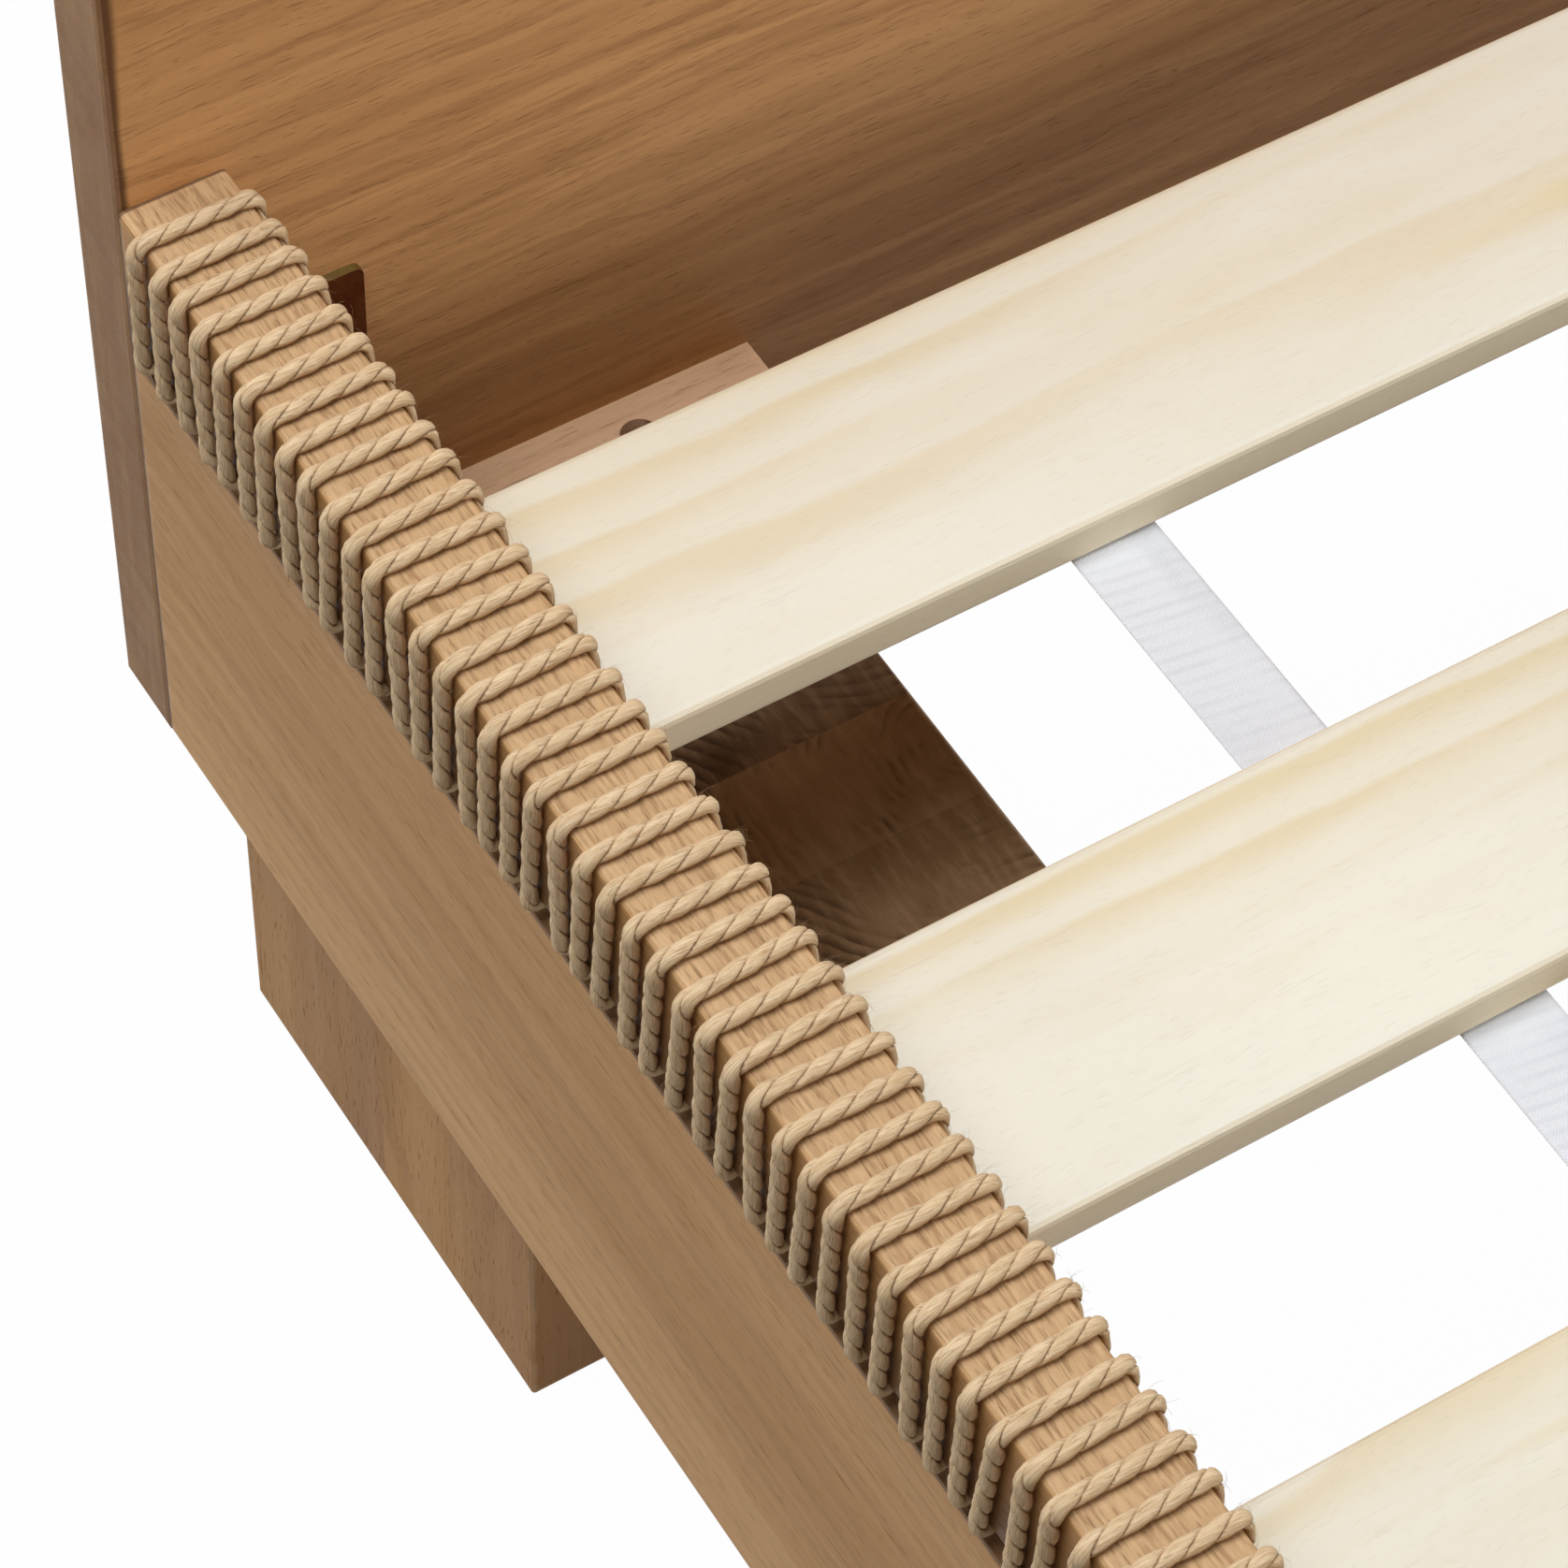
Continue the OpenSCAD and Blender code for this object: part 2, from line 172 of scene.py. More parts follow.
def aimCamera(look):
    a, e, r = look["heading"], look["dip"], look["roll"]
    forward = Vector((math.sin(a) * math.cos(e), math.cos(a) * math.cos(e), -math.sin(e)))
    level = Vector((math.cos(a), -math.sin(a), 0))
    lift = level.cross(forward)
    right = math.cos(r) * level + math.sin(r) * lift
    up = -math.sin(r) * level + math.cos(r) * lift
    data = bpy.data.cameras.new("photoCamera")
    data.lens = look["lens"]
    data.sensor_width = look["sensor"]
    data.clip_start, data.clip_end = look["nearest"], look["furthest"]
    camera = bpy.data.objects.new("photoCamera", data)
    bpy.context.scene.collection.objects.link(camera)
    turn = Matrix((right, up, -forward)).transposed().to_4x4()
    camera.matrix_world = Matrix.Translation(look["eye"]) @ turn
    bpy.context.scene.camera = camera


def seenDirectly(tree):
    # 1 for rays from the camera and for those that shiny or clear things send on
    path = tree.nodes.new("ShaderNodeLightPath").outputs
    both = calc(tree, "MAXIMUM", path["Is Camera Ray"], path["Is Glossy Ray"])
    return calc(tree, "MAXIMUM", both, path["Is Transmission Ray"])


def layFloor(look):
    half = look["floorHalf"]
    mesh = bpy.data.meshes.new("studioFloor")
    mesh.from_pydata([(-half, -half, 0), (half, -half, 0), (half, half, 0), (-half, half, 0)], [], [(0, 1, 2, 3)])
    floor = bpy.data.objects.new("studioFloor", mesh)
    floor.location.z = -look["floorDrop"]
    bpy.context.scene.collection.objects.link(floor)
    material = bpy.data.materials.new("studioFloor")
    tree = emptyTree(material)
    matt = addNode(tree, "ShaderNodeBsdfDiffuse", {"Color": (look["floorTone"],) * 3 + (1,)})
    plain = addNode(tree, "ShaderNodeEmission", {"Color": white, "Strength": 1.0})
    share = calc(tree, "MULTIPLY", seenDirectly(tree), look["floorWhite"])
    both = addNode(tree, "ShaderNodeMixShader", {0: share, 1: matt.outputs[0], 2: plain.outputs[0]})
    addNode(tree, "ShaderNodeOutputMaterial", {0: both.outputs[0]})
    mesh.materials.append(material)


def lightStudio(look):
    world = bpy.data.worlds.new("studioSky")
    bpy.context.scene.world = world
    tree = emptyTree(world)
    direct = seenDirectly(tree)
    strength = addNode(tree, "ShaderNodeMapRange", {"Value": direct, "To Min": look["skyGlow"], "To Max": 1.0})
    tint = blendColour(tree, direct, (*look["skyTint"], 1), white)
    sky = addNode(tree, "ShaderNodeBackground", {"Color": tint, "Strength": strength.outputs[0]})
    addNode(tree, "ShaderNodeOutputWorld", {0: sky.outputs[0]})
    for name in ("lamp", "fill", "side"):
        lamp = bpy.data.lights.new(name + "Panel", "AREA")
        lamp.size = look[name + "Size"]
        lamp.energy = look[name + "Watts"]
        lamp.color = look[name + "Tint"]
        panel = bpy.data.objects.new(name + "Panel", lamp)
        panel.location = look[name + "Place"]
        panel.rotation_euler = (Vector(look["litPoint"]) - panel.location).to_track_quat("-Z", "Y").to_euler()
        bpy.context.scene.collection.objects.link(panel)


bpy.context.scene.view_settings.view_transform = "Standard"
aimCamera(studio)
layFloor(studio)
lightStudio(studio)
print("stage: camera, floor and lights")


# Wood grain, shared by every wooden piece. Its vector starts at the piece's middle and runs along the grain
# in X, across the board in Y and through its thickness in Z.

grainFigure = {
    "seedGap": 0.37, "seedJump": 7.1, "cutFrom": (5.3, 3.7, 1.9),   # how far apart pieces and staves are cut
    "staveSpread": 0.12,        # how far the heart moves from stave to stave
    "joint": (0.0001, 0.0006),
    "wave": ((2.0, 10, 10), 3, 0.45), "ripple": ((11, 34, 34), 2, 0.5), "rippleShare": 0.45, "waveAcross": 0.6,
    "lateFrom": 0.15, "lateTo": 0.85,       # the dark part of a year's ring
    "layers": {"Bands": ((1.6, 17, 17), 2, 0.5), "Streaks": ((4, 95, 95), 4, 0.58),
               "Strokes": ((30, 430, 430), 2, 0.5), "Dashes": ((110, 820, 820), 1, 0.5),
               "Blotches": ((4.5, 21, 21), 2, 0.5)},
    "pores": ((100, 1300, 1300), 1, 0.5), "poreCut": (0.63, 0.73),
    "veins": ((2.6, 42, 42), 3, 0.55), "veinWidth": 0.035,
}


def makeBoardGrain():
    g = grainFigure
    tree, given, out = newGroup(
        "boardGrain",
        {"Vector": (0.0, 0.0, 0.0), "Seed": 0.0, "Ring Gap": 0.006, "Heart Aside": 0.0, "Heart Depth": 0.06,
         "Slant": 0.012, "Waviness": 0.01, "Stave Width": 1.0, "Stave Shift": 0.37},
        ("Rings", *g["layers"], "Veins", "Pores", "Stave", "Joint"))
    seed = given["Seed"]
    x, y, z = split(tree, given["Vector"])
    place = calc(tree, "ADD", calc(tree, "DIVIDE", y, given["Stave Width"]), given["Stave Shift"])
    number = calc(tree, "MULTIPLY_ADD", seed, g["seedJump"], calc(tree, "FLOOR", place))
    chance = addNode(tree, "ShaderNodeTexWhiteNoise", {"W": number}, noise_dimensions="1D").outputs["Value"]
    edge = calc(tree, "MULTIPLY", calc(tree, "PINGPONG", place, 0.5), given["Stave Width"])
    marks = {"Stave": chance, "Joint": smooth(tree, edge, *g["joint"], 1.0, 0.0)}

    # each stave is cut from another place, and the grain wanders a little
    byChance, alongSeed, acrossSeed = g["cutFrom"]
    shift = join(tree, calc(tree, "MULTIPLY_ADD", chance, byChance, calc(tree, "MULTIPLY", seed, alongSeed)),
                 calc(tree, "MULTIPLY", seed, acrossSeed), seed)
    spot = vectorCalc(tree, "ADD", given["Vector"], shift)
    wave = calc(tree, "SUBTRACT", noise(tree, spot, *g["wave"]), 0.5)
    wave = calc(tree, "MULTIPLY", wave, given["Waviness"])
    ripple = calc(tree, "SUBTRACT", noise(tree, spot, *g["ripple"]), 0.5)
    ripple = calc(tree, "MULTIPLY", ripple, calc(tree, "MULTIPLY", given["Waviness"], g["rippleShare"]))
    spot = vectorCalc(tree, "ADD", spot, join(tree, 0.0, ripple, ripple))

    spread = g["staveSpread"]
    across = calc(tree, "ADD", y, given["Heart Aside"])
    across = calc(tree, "ADD", across, calc(tree, "MULTIPLY", wave, g["waveAcross"]))
    across = calc(tree, "ADD", across, calc(tree, "MULTIPLY_ADD", chance, spread, -spread / 2))
    deep = calc(tree, "ADD", calc(tree, "MULTIPLY_ADD", x, given["Slant"], z), given["Heart Depth"])
    deep = calc(tree, "ADD", deep, calc(tree, "ADD", wave, ripple))
    reach = calc(tree, "SQRT", calc(tree, "MULTIPLY_ADD", across, across, calc(tree, "MULTIPLY", deep, deep)))
    year = calc(tree, "FRACT", calc(tree, "DIVIDE", reach, given["Ring Gap"]))
    marks["Rings"] = calc(tree, "MULTIPLY", smooth(tree, year, g["lateFrom"], g["lateTo"]),
                          smooth(tree, year, g["lateTo"], 1.0, 1.0, 0.0))
    for label, figure in g["layers"].items():
        marks[label] = noise(tree, spot, *figure)
    marks["Pores"] = smooth(tree, noise(tree, spot, *g["pores"]), *g["poreCut"])
    vein = calc(tree, "ABSOLUTE", calc(tree, "SUBTRACT", noise(tree, spot, *g["veins"]), 0.5))
    marks["Veins"] = smooth(tree, vein, 0.0, g["veinWidth"], 1.0, 0.0)
    fill(tree, out, marks)
    return tree


# Paler edges of a box-shaped piece: wear, and partly a painted highlight where rounded edges catch the light. Half
# is half its size and Vector starts at its middle.

wearAndHighlightFigure = {"patches": ((55, 55, 55), 4, 0.65), "most": 2.4, "less": -0.5, "least": 0.0002, "fade": (0.3, 1.2)}


def makeEdgeWearAndHighlight():
    f = wearAndHighlightFigure
    tree, given, out = newGroup(
        "edgeWearAndHighlight", {"Vector": (0.0, 0.0, 0.0), "Half": (0.1, 0.1, 0.1), "Width": 0.003}, ("WearAndHighlight",))
    away = vectorCalc(tree, "SUBTRACT", given["Half"], vectorCalc(tree, "ABSOLUTE", given["Vector"]))
    x, y, z = split(tree, away)
    nearest = calc(tree, "MINIMUM", calc(tree, "MAXIMUM", x, y),
                   calc(tree, "MINIMUM", calc(tree, "MAXIMUM", y, z), calc(tree, "MAXIMUM", x, z)))
    patchy = noise(tree, given["Vector"], *f["patches"])
    reach = calc(tree, "MULTIPLY", given["Width"], calc(tree, "MULTIPLY_ADD", patchy, f["most"], f["less"]))
    share = calc(tree, "DIVIDE", nearest, calc(tree, "MAXIMUM", reach, f["least"]))
    fill(tree, out, {"WearAndHighlight": smooth(tree, share, *f["fade"], 1.0, 0.0)})
    return tree


boardGrain = makeBoardGrain()
edgeWearAndHighlight = makeEdgeWearAndHighlight()

# Colours first, then how the grain lies, how strongly each of its marks shows, and the surface
railWood = {
    "light": shade(204, 158, 104), "dark": shade(185, 139, 87), "line": shade(134, 92, 52),
    "pale": shade(224, 180, 127), "poreAndShade": shade(92, 58, 34), "top": shade(205, 171, 130),
    "end": shade(146, 104, 68), "endPale": shade(176, 132, 92), "wornAndLit": shade(226, 190, 148),
    "ringGap": 0.0085, "heartAside": 0.02, "heartDepth": 0.085, "slant": 0.020, "wave": 0.014,
    "stave": 0.60, "staveShift": 0.37, "staveTone": 0.0, "endStave": 0.08, "jointTone": 0.0,
    "topShare": 1.0, "sideBounceShare": 0.0, "drift": 0.0, "firstSeed": 1.0,
    "bands": 0.9, "rings": 0.10, "streaks": 0.15, "veins": 0.16, "strokes": 0.12, "pores": 0.25,
    "blotches": 0.0, "dashes": 0.50, "endClouds": 0.35, "endRings": 0.14, "endRays": 0.30, "rayStretch": (14, 190),
    "jointShade": 0.80, "jointShadeWidth": 0.0014, "wearAndHighlight": 0.30, "wearAndHighlightWidth": 0.0030, "cordGapShade": 0.0,
    "rough": 0.42, "relief": 0.00016, "shine": 0.26,
}
# the rails' paler lower part is a painted highlight, and their darker bar between the cord's turns is painted
# shade
barWood = dict(
    railWood, low=shade(226, 180, 126), drift=0.50, lowShadingAt=(-0.03, -0.115), shine=0.12,
    cordGapShade=0.80, barLow=(0.060, 0.061), barHigh=(0.1215, 0.079))     # heights from the rail's middle
# the end boards' darker lower part is painted shade
headWood = dict(
    railWood, light=shade(219, 166, 112), dark=shade(196, 142, 90), line=shade(132, 84, 42),
    pale=shade(232, 180, 122), poreAndShade=shade(84, 50, 26), end=shade(141, 102, 63), endPale=shade(177, 140, 96),
    wornAndLit=shade(214, 162, 110), low=shade(116, 80, 44), drift=0.50, lowShadingAt=(-0.15, -0.30),
    ringGap=0.013, heartDepth=0.05, slant=0.03, wave=0.026, stave=0.21, staveTone=0.08, topShare=0.0,
    bands=0.75, rings=0.12, streaks=0.26, veins=0.26, strokes=0.18, dashes=0.0,
    jointShade=0.90, jointShadeWidth=0.0050, wearAndHighlight=0.12, shine=0.15)
legWood = dict(
    railWood, light=shade(188, 138, 75), dark=shade(165, 115, 59), line=shade(104, 69, 35),
    pale=shade(197, 149, 87), poreAndShade=shade(44, 25, 10), end=shade(150, 118, 84), endPale=shade(178, 148, 118),
    ringGap=0.0046, heartDepth=-0.105, wave=0.030, stave=0.0465, staveShift=0.086, staveTone=0.25,
    endStave=0.80, jointTone=0.05, topShare=0.0, firstSeed=5.5, rings=0.08, streaks=0.12, veins=0.08,
    strokes=0.10, dashes=0.0, endClouds=0.20, endRings=0.65, endRays=0.36, rayStretch=(50, 260), jointShade=0.0,
    shine=0.15)
cleatWood = dict(
    railWood, light=shade(222, 184, 150), dark=shade(206, 168, 134), line=shade(172, 130, 96),
    pale=shade(232, 198, 166), end=shade(180, 138, 104), ringGap=0.005, heartDepth=0.03, topShare=0.0,
    rings=0.14, dashes=0.12, endClouds=0.1, jointShade=0.0, rough=0.54)
slatPine = dict(
    railWood, light=shade(238, 236, 224), dark=shade(233, 227, 209), line=shade(221, 199, 146),
    pale=shade(246, 240, 227), poreAndShade=shade(206, 178, 138), side=shade(246, 231, 199),
    end=shade(224, 208, 182), endPale=shade(236, 222, 200), wornAndLit=shade(244, 238, 224),
    blotch=shade(230, 208, 154), ringGap=0.017, heartAside=0.03, heartDepth=0.030, slant=0.010, wave=0.060,
    topShare=0.0, sideBounceShare=0.75, bands=1.0, rings=0.50, streaks=0.09, veins=0.0, strokes=0.03, pores=0.05,
    blotches=0.60, dashes=0.0, endClouds=0.0, jointShade=0.0, wearAndHighlight=0.16, rough=0.52, relief=0.00007)
woodLooks = {"oiled_wood": railWood, "leg_wood": legWood, "cleat_wood": cleatWood, "pine": slatPine,
             "headboard": headWood, "footboard": headWood, "left_rail": barWood, "right_rail": barWood}

# Where each of the grain's marks sets in and where it is full
woodCuts = {
    "end face": (0.6, 0.85), "top face": (0.6, 0.9), "bands": (0.3, 0.7), "ring patches": (0.42, 0.66),
    "blotches": (0.56, 0.78), "dark streaks": (0.46, 0.72), "pale streaks": (0.50, 0.30),
    "dark strokes": (0.60, 0.70), "pale strokes": (0.40, 0.30), "bright dashes": (0.54, 0.66),
    "deep dashes": (0.46, 0.34), "end clouds": (0.50, 0.68), "pale rays": (0.42, 0.72),
    "end bands": (0.44, 0.66), "end patches": (0.38, 0.56), "dark rays": (0.40, 0.25),
}
woodFigure = {
    "rays": (3, 0.6), "clouds": ((10, 30, 80), 3, 0.55), "patches": ((20, 34, 22), 3, 0.6), "rayAlong": 30,
    "paleStrokes": 0.6, "brightDashes": 0.7, "deepDashes": 0.75,    # shares of the marks' own strength
    "jointShadeInner": 0.45, "jointShadeWander": (1.6, 0.2),
    "roughStreaks": 0.18, "roughPores": 0.2, "roughWorn": -0.10,
    "heights": {"Pores": -0.9, "Streaks": -0.55, "Rings": 0.2, "Dashes": 0.5, "Strokes": -0.3},
}


def grainAxes(node):
    # the way that the grain runs and the board's thickness, as axis numbers
    low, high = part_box(node)
    sides = list(high - low)
    if "_leg" in node and "cleat" not in node:
        return 2, 0         # the blocks and the centre leg stand on end grain
    grain = sides.index(max(sides))
    return grain, min((k for k in range(3) if k != grain), key=lambda k: sides[k])


def woodMaterial(name, look, node, seed):
    low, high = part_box(node)
    half = (high - low) / 2
    grain, thick = grainAxes(node)
    along, through = (Vector([float(k == axis) for k in range(3)]) for axis in (grain, thick))
    turn = tuple(Matrix((along, through.cross(along), through)).to_euler("XYZ"))

    material, tree, shader = newMaterial(name)
    coords = tree.nodes.new("ShaderNodeTexCoord").outputs
    middle = vectorCalc(tree, "SUBTRACT", coords["Object"], tuple((low + high) / 2))
    local = addNode(tree, "ShaderNodeMapping", {"Vector": middle, "Rotation": turn}).outputs[0]
    facing = addNode(tree, "ShaderNodeMapping", {"Vector": coords["Normal"], "Rotation": turn}).outputs[0]
    figure = placeGroup(tree, boardGrain, {
        "Vector": local, "Seed": seed, "Ring Gap": look["ringGap"], "Heart Aside": look["heartAside"],
        "Heart Depth": look["heartDepth"], "Slant": look["slant"], "Waviness": look["wave"],
        "Stave Width": look["stave"], "Stave Shift": look["staveShift"]})
    wornAndLit = placeGroup(tree, edgeWearAndHighlight, {"Vector": middle, "Half": tuple(half), "Width": look["wearAndHighlightWidth"]})["WearAndHighlight"]

    def cut(value, name):
        return smooth(tree, value, *woodCuts[name])

    def paint(tone, share, strength, colour):
        # colour is a key of look, and so is strength where it isn't a number
        return blendColour(tree, calc(tree, "MULTIPLY", share, look.get(strength, strength)), tone, look[colour])

    f = woodFigure
    endFace = cut(calc(tree, "ABSOLUTE", split(tree, facing)[0]), "end face")
    topFace = cut(split(tree, coords["Normal"])[2], "top face")
    tone = paint(look["light"], cut(figure["Bands"], "bands"), "bands", "dark")
    if look["drift"]:       # painted shade and light: towards the lower edge the end boards are darkened, where the slats shade them, and the rails lightened, where light from the floor reaches them
        tone = paint(tone, smooth(tree, split(tree, middle)[2], *look["lowShadingAt"]), "drift", "low")
    tone = paint(tone, figure["Stave"], "staveTone", "line")
    if look["topShare"]:
        tone = paint(tone, topFace, "topShare", "top")
    # painted light: the slats' side faces take a warmer, yellower tone, standing in for light bounced from the
    # wood into their shade
    if look["sideBounceShare"]:
        tone = paint(tone, calc(tree, "SUBTRACT", 1.0, topFace), "sideBounceShare", "side")
    rings = figure["Rings"]
    if look["blotches"]:    # the rings only show here and there, with an amber cloud round some of them
        rings = calc(tree, "MULTIPLY", rings, cut(figure["Bands"], "ring patches"))
        tone = paint(tone, cut(figure["Blotches"], "blotches"), "blotches", "blotch")
    tone = paint(tone, rings, "rings", "line")
    tone = paint(tone, figure["Veins"], "veins", "line")
    tone = paint(tone, cut(figure["Streaks"], "dark streaks"), "streaks", "line")
    tone = paint(tone, cut(figure["Streaks"], "pale streaks"), "streaks", "pale")
    tone = paint(tone, cut(figure["Strokes"], "dark strokes"), "strokes", "line")
    tone = paint(tone, cut(figure["Strokes"], "pale strokes"), look["strokes"] * f["paleStrokes"], "pale")
    if look["dashes"]:
        bright = calc(tree, "MULTIPLY", cut(figure["Dashes"], "bright dashes"), topFace)
        deep = calc(tree, "MULTIPLY", cut(figure["Dashes"], "deep dashes"), topFace)
        tone = paint(tone, bright, look["dashes"] * f["brightDashes"], "wornAndLit")
        tone = paint(tone, deep, look["dashes"] * f["deepDashes"], "line")
    tone = paint(tone, figure["Pores"], "pores", "poreAndShade")

    # the cut ends show the rings as arcs, with fine rays, clouds and darker staves
    rays = noise(tree, local, (f["rayAlong"], *look["rayStretch"]), *f["rays"])
    ends = paint(look["end"], cut(noise(tree, local, *f["clouds"]), "end clouds"), "endClouds", "line")
    ends = paint(ends, figure["Stave"], "endStave", "poreAndShade")
    ends = paint(ends, cut(rays, "pale rays"), "endRays", "endPale")
    ends = paint(ends, cut(figure["Bands"], "end bands"), "endRays", "endPale")
    patchy = cut(noise(tree, local, *f["patches"]), "end patches")
    ends = paint(ends, calc(tree, "MULTIPLY", figure["Rings"], patchy), "endRings", "poreAndShade")
    ends = paint(ends, cut(rays, "dark rays"), "endRays", "line")
    tone = blendColour(tree, endFace, tone, ends)
    tone = paint(tone, figure["Joint"], "jointTone", "poreAndShade")
    # edge wear, partly painted highlight: the edges are blended to a paler colour, which also stands in for the
    # light on the rails' rounded lower edges
    tone = paint(tone, wornAndLit, "wearAndHighlight", "wornAndLit")
    if look["jointShade"]:        # painted shade: a dark line along the ends of the grain, where the boards meet in a shaded corner
        fromEnd = calc(tree, "SUBTRACT", half[grain], calc(tree, "ABSOLUTE", split(tree, local)[0]))
        fromEnd = calc(tree, "DIVIDE", fromEnd, calc(tree, "MULTIPLY_ADD", figure["Bands"], *f["jointShadeWander"]))
        jointShade = smooth(tree, fromEnd, look["jointShadeWidth"] * f["jointShadeInner"], look["jointShadeWidth"], 1.0, 0.0)
        jointShade = calc(tree, "MULTIPLY", jointShade, calc(tree, "SUBTRACT", 1.0, endFace))
        tone = paint(tone, jointShade, "jointShade", "poreAndShade")
    if look["cordGapShade"]:   # painted shade: the bar's faces between the turns of the cord are darkened, most of all towards the slot, where the cord shades them
        height = split(tree, middle)[2]
        upper, lower = (smooth(tree, height, *look[edge]) for edge in ("barHigh", "barLow"))
        tone = paint(tone, calc(tree, "MULTIPLY", upper, lower), "cordGapShade", "poreAndShade")

    rough = calc(tree, "MULTIPLY_ADD", figure["Streaks"], f["roughStreaks"], look["rough"])
    rough = calc(tree, "MULTIPLY_ADD", figure["Pores"], f["roughPores"], rough)
    rough = calc(tree, "MULTIPLY_ADD", wornAndLit, f["roughWorn"], rough)
    height = 0.0
    for mark, share in f["heights"].items():
        height = calc(tree, "MULTIPLY_ADD", figure[mark], share, height)
    fill(tree, shader, {"Base Color": tone, "Roughness": rough, "Specular IOR Level": look["shine"],
                        "Normal": bump(tree, height, look["relief"])})
    return material


# Plated and blackened steel

# edge is the colour of a painted highlight on faces that look up
giltSteel = {"base": shade(111, 60, 28), "tint": shade(87, 38, 16), "edge": shade(150, 138, 92), "rough": 0.24}
blackSteel = {"base": shade(70, 72, 84), "tint": shade(96, 96, 104), "edge": shade(120, 122, 132), "rough": 0.32}
steelFigure = {
    "clouds": ((70, 70, 70), 4, 0.6), "grit": ((900, 900, 900), 3, 0.6), "brushed": ((260, 260, 2600), 2, 0.5),
    "cloudCut": (0.4, 0.68), "gritCut": (0.62, 0.75, 0.0, 0.35), "topHighlightCut": (0.3, 0.9),
    "roughClouds": 0.2, "roughGrit": 0.14, "highGrit": 0.5, "highBrushed": 0.5, "relief": 0.00003,
}


def steelMaterial(name, look):
    f = steelFigure
    material, tree, shader = newMaterial(name)
    coords = tree.nodes.new("ShaderNodeTexCoord").outputs
    clouds, grit, brushed = (noise(tree, coords["Object"], *f[kind]) for kind in ("clouds", "grit", "brushed"))
    tone = blendColour(tree, smooth(tree, clouds, *f["cloudCut"]), look["base"], look["tint"])
    tone = blendColour(tree, smooth(tree, grit, *f["gritCut"]), tone, look["tint"])
    # painted highlight: faces that look up are blended to the lighter edge colour, as if they caught the light
    # from above
    tone = blendColour(tree, smooth(tree, split(tree, coords["Normal"])[2], *f["topHighlightCut"]), tone, look["edge"])
    rough = calc(tree, "MULTIPLY_ADD", clouds, f["roughClouds"], look["rough"])
    rough = calc(tree, "MULTIPLY_ADD", grit, f["roughGrit"], rough)
    height = calc(tree, "MULTIPLY_ADD", grit, f["highGrit"], calc(tree, "MULTIPLY", brushed, f["highBrushed"]))
    fill(tree, shader, {"Base Color": tone, "Metallic": 1.0, "Roughness": rough,
                        "Normal": bump(tree, height, f["relief"])})
    return material


gilt = steelMaterial("giltSteel", giltSteel)
steels = {"gilt_steel": gilt, "black_steel": steelMaterial("blackSteel", blackSteel)}


def dressSolids():
    for index, name in enumerate(sorted(nodes)):
        slot = nodes[name].material_slots[0]
        slotName = slot.material.name
        if slotName in woodLooks:
            look = woodLooks.get(name, woodLooks[slotName])
            seed = index * grainFigure["seedGap"] + look["firstSeed"]
            slot.material = woodMaterial(name + "Wood", look, name, seed)
        elif slotName in steels:
            slot.material = steels[slotName]


dressSolids()
print("stage: wood and steel")


def addPiece(name, points, faces, body, slotName, material, stands=()):
    mesh = bpy.data.meshes.new(name)
    mesh.from_pydata(points, [], faces)
    mesh.polygons.foreach_set("use_smooth", [True] * len(mesh.polygons))
    mesh.materials.append(material)
    piece = bpy.data.objects.new(name, mesh)
    bpy.context.scene.collection.objects.link(piece)
    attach(piece, body)
    if stands:
        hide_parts(*stands)
    return piece


# The cord wound round both rails' top bars. Its route is measured from the rail's top outer corner at the
# head end, in millimetres: x runs inwards, y towards the foot and z up.

winding = {
    "railWidth": 35.0, "railLength": 2010.0, "barHeight": 50.0, "edgeEase": 2.0,
    "outerX": 745.0, "headY": 1005.0, "topZ": 381.0,
    "lift": 2.95,               # from the wood to the cord's middle
    "radius": 2.75,
    "pitch": 12.5, "firstTurn": 16.5, "turns": 159,
    "holeY": 7.5, "holeZ": -22.0, "holeDepth": 12.0, "holeBend": 0.3, "holeThick": 0.8,
    "leadIn": (1.2, 0.6), "lastAcross": 3.0, "crossOver": (0.80, 0.86),     # sideways, the last in pitches
    "fineTurns": 48, "fine": (1.75, 6), "plain": (3.7, 4),      # step along the cord, and steps round a bend
    "easings": 6,
    "pulled": (0.88, 1.00, 0.96, 0.60),     # how thick it stays at the outer foot, outer top, top and inner face
    "wander": 0.55, "mostWander": 1.3,      # how far a turn strays from its even place
    # the same at the outer face's foot, and how far it leans to the head there
    "lowWander": 1.9, "lowMost": 2.8, "lean": 1.6,
    "slack": 1.2, "slackOdds": (1.2, 2.2), "slackInwards": 0.3,     # how the loosest turn hangs below the bar
    "seed": 11, "leftCuts": (0, 24, 48, 104, 159), "rightCuts": (0, 80, 159),
}
yarn = {
    "lay": 19.6,                # length of one full twist
    "twistSway": 0.8, "swayLength": 55.0, "swell": 0.05, "swellLength": 5.0, "uneven": 0.026,
    "closedLength": 3.1, "openPower": 1.25, "closedPower": 0.8,
    "apart": (31, 7, 7.3),      # the second ply's swelling, crease and marks are so far from the first's
    "looseRise": 0.5, "looseSpread": 1.5, "tightSpread": 0.22,
}
fibres = {
    "count": 3400, "length": (2.0, 7.0), "radius": 0.050, "rise": (0.2, 1.35), "firstPoint": 20, "lean": 1.3,
    "root": 0.9, "drift": 0.5, "arch": 2.2, "archShare": 1.1, "taper": 0.6, "rings": 5, "sides": 3,
}

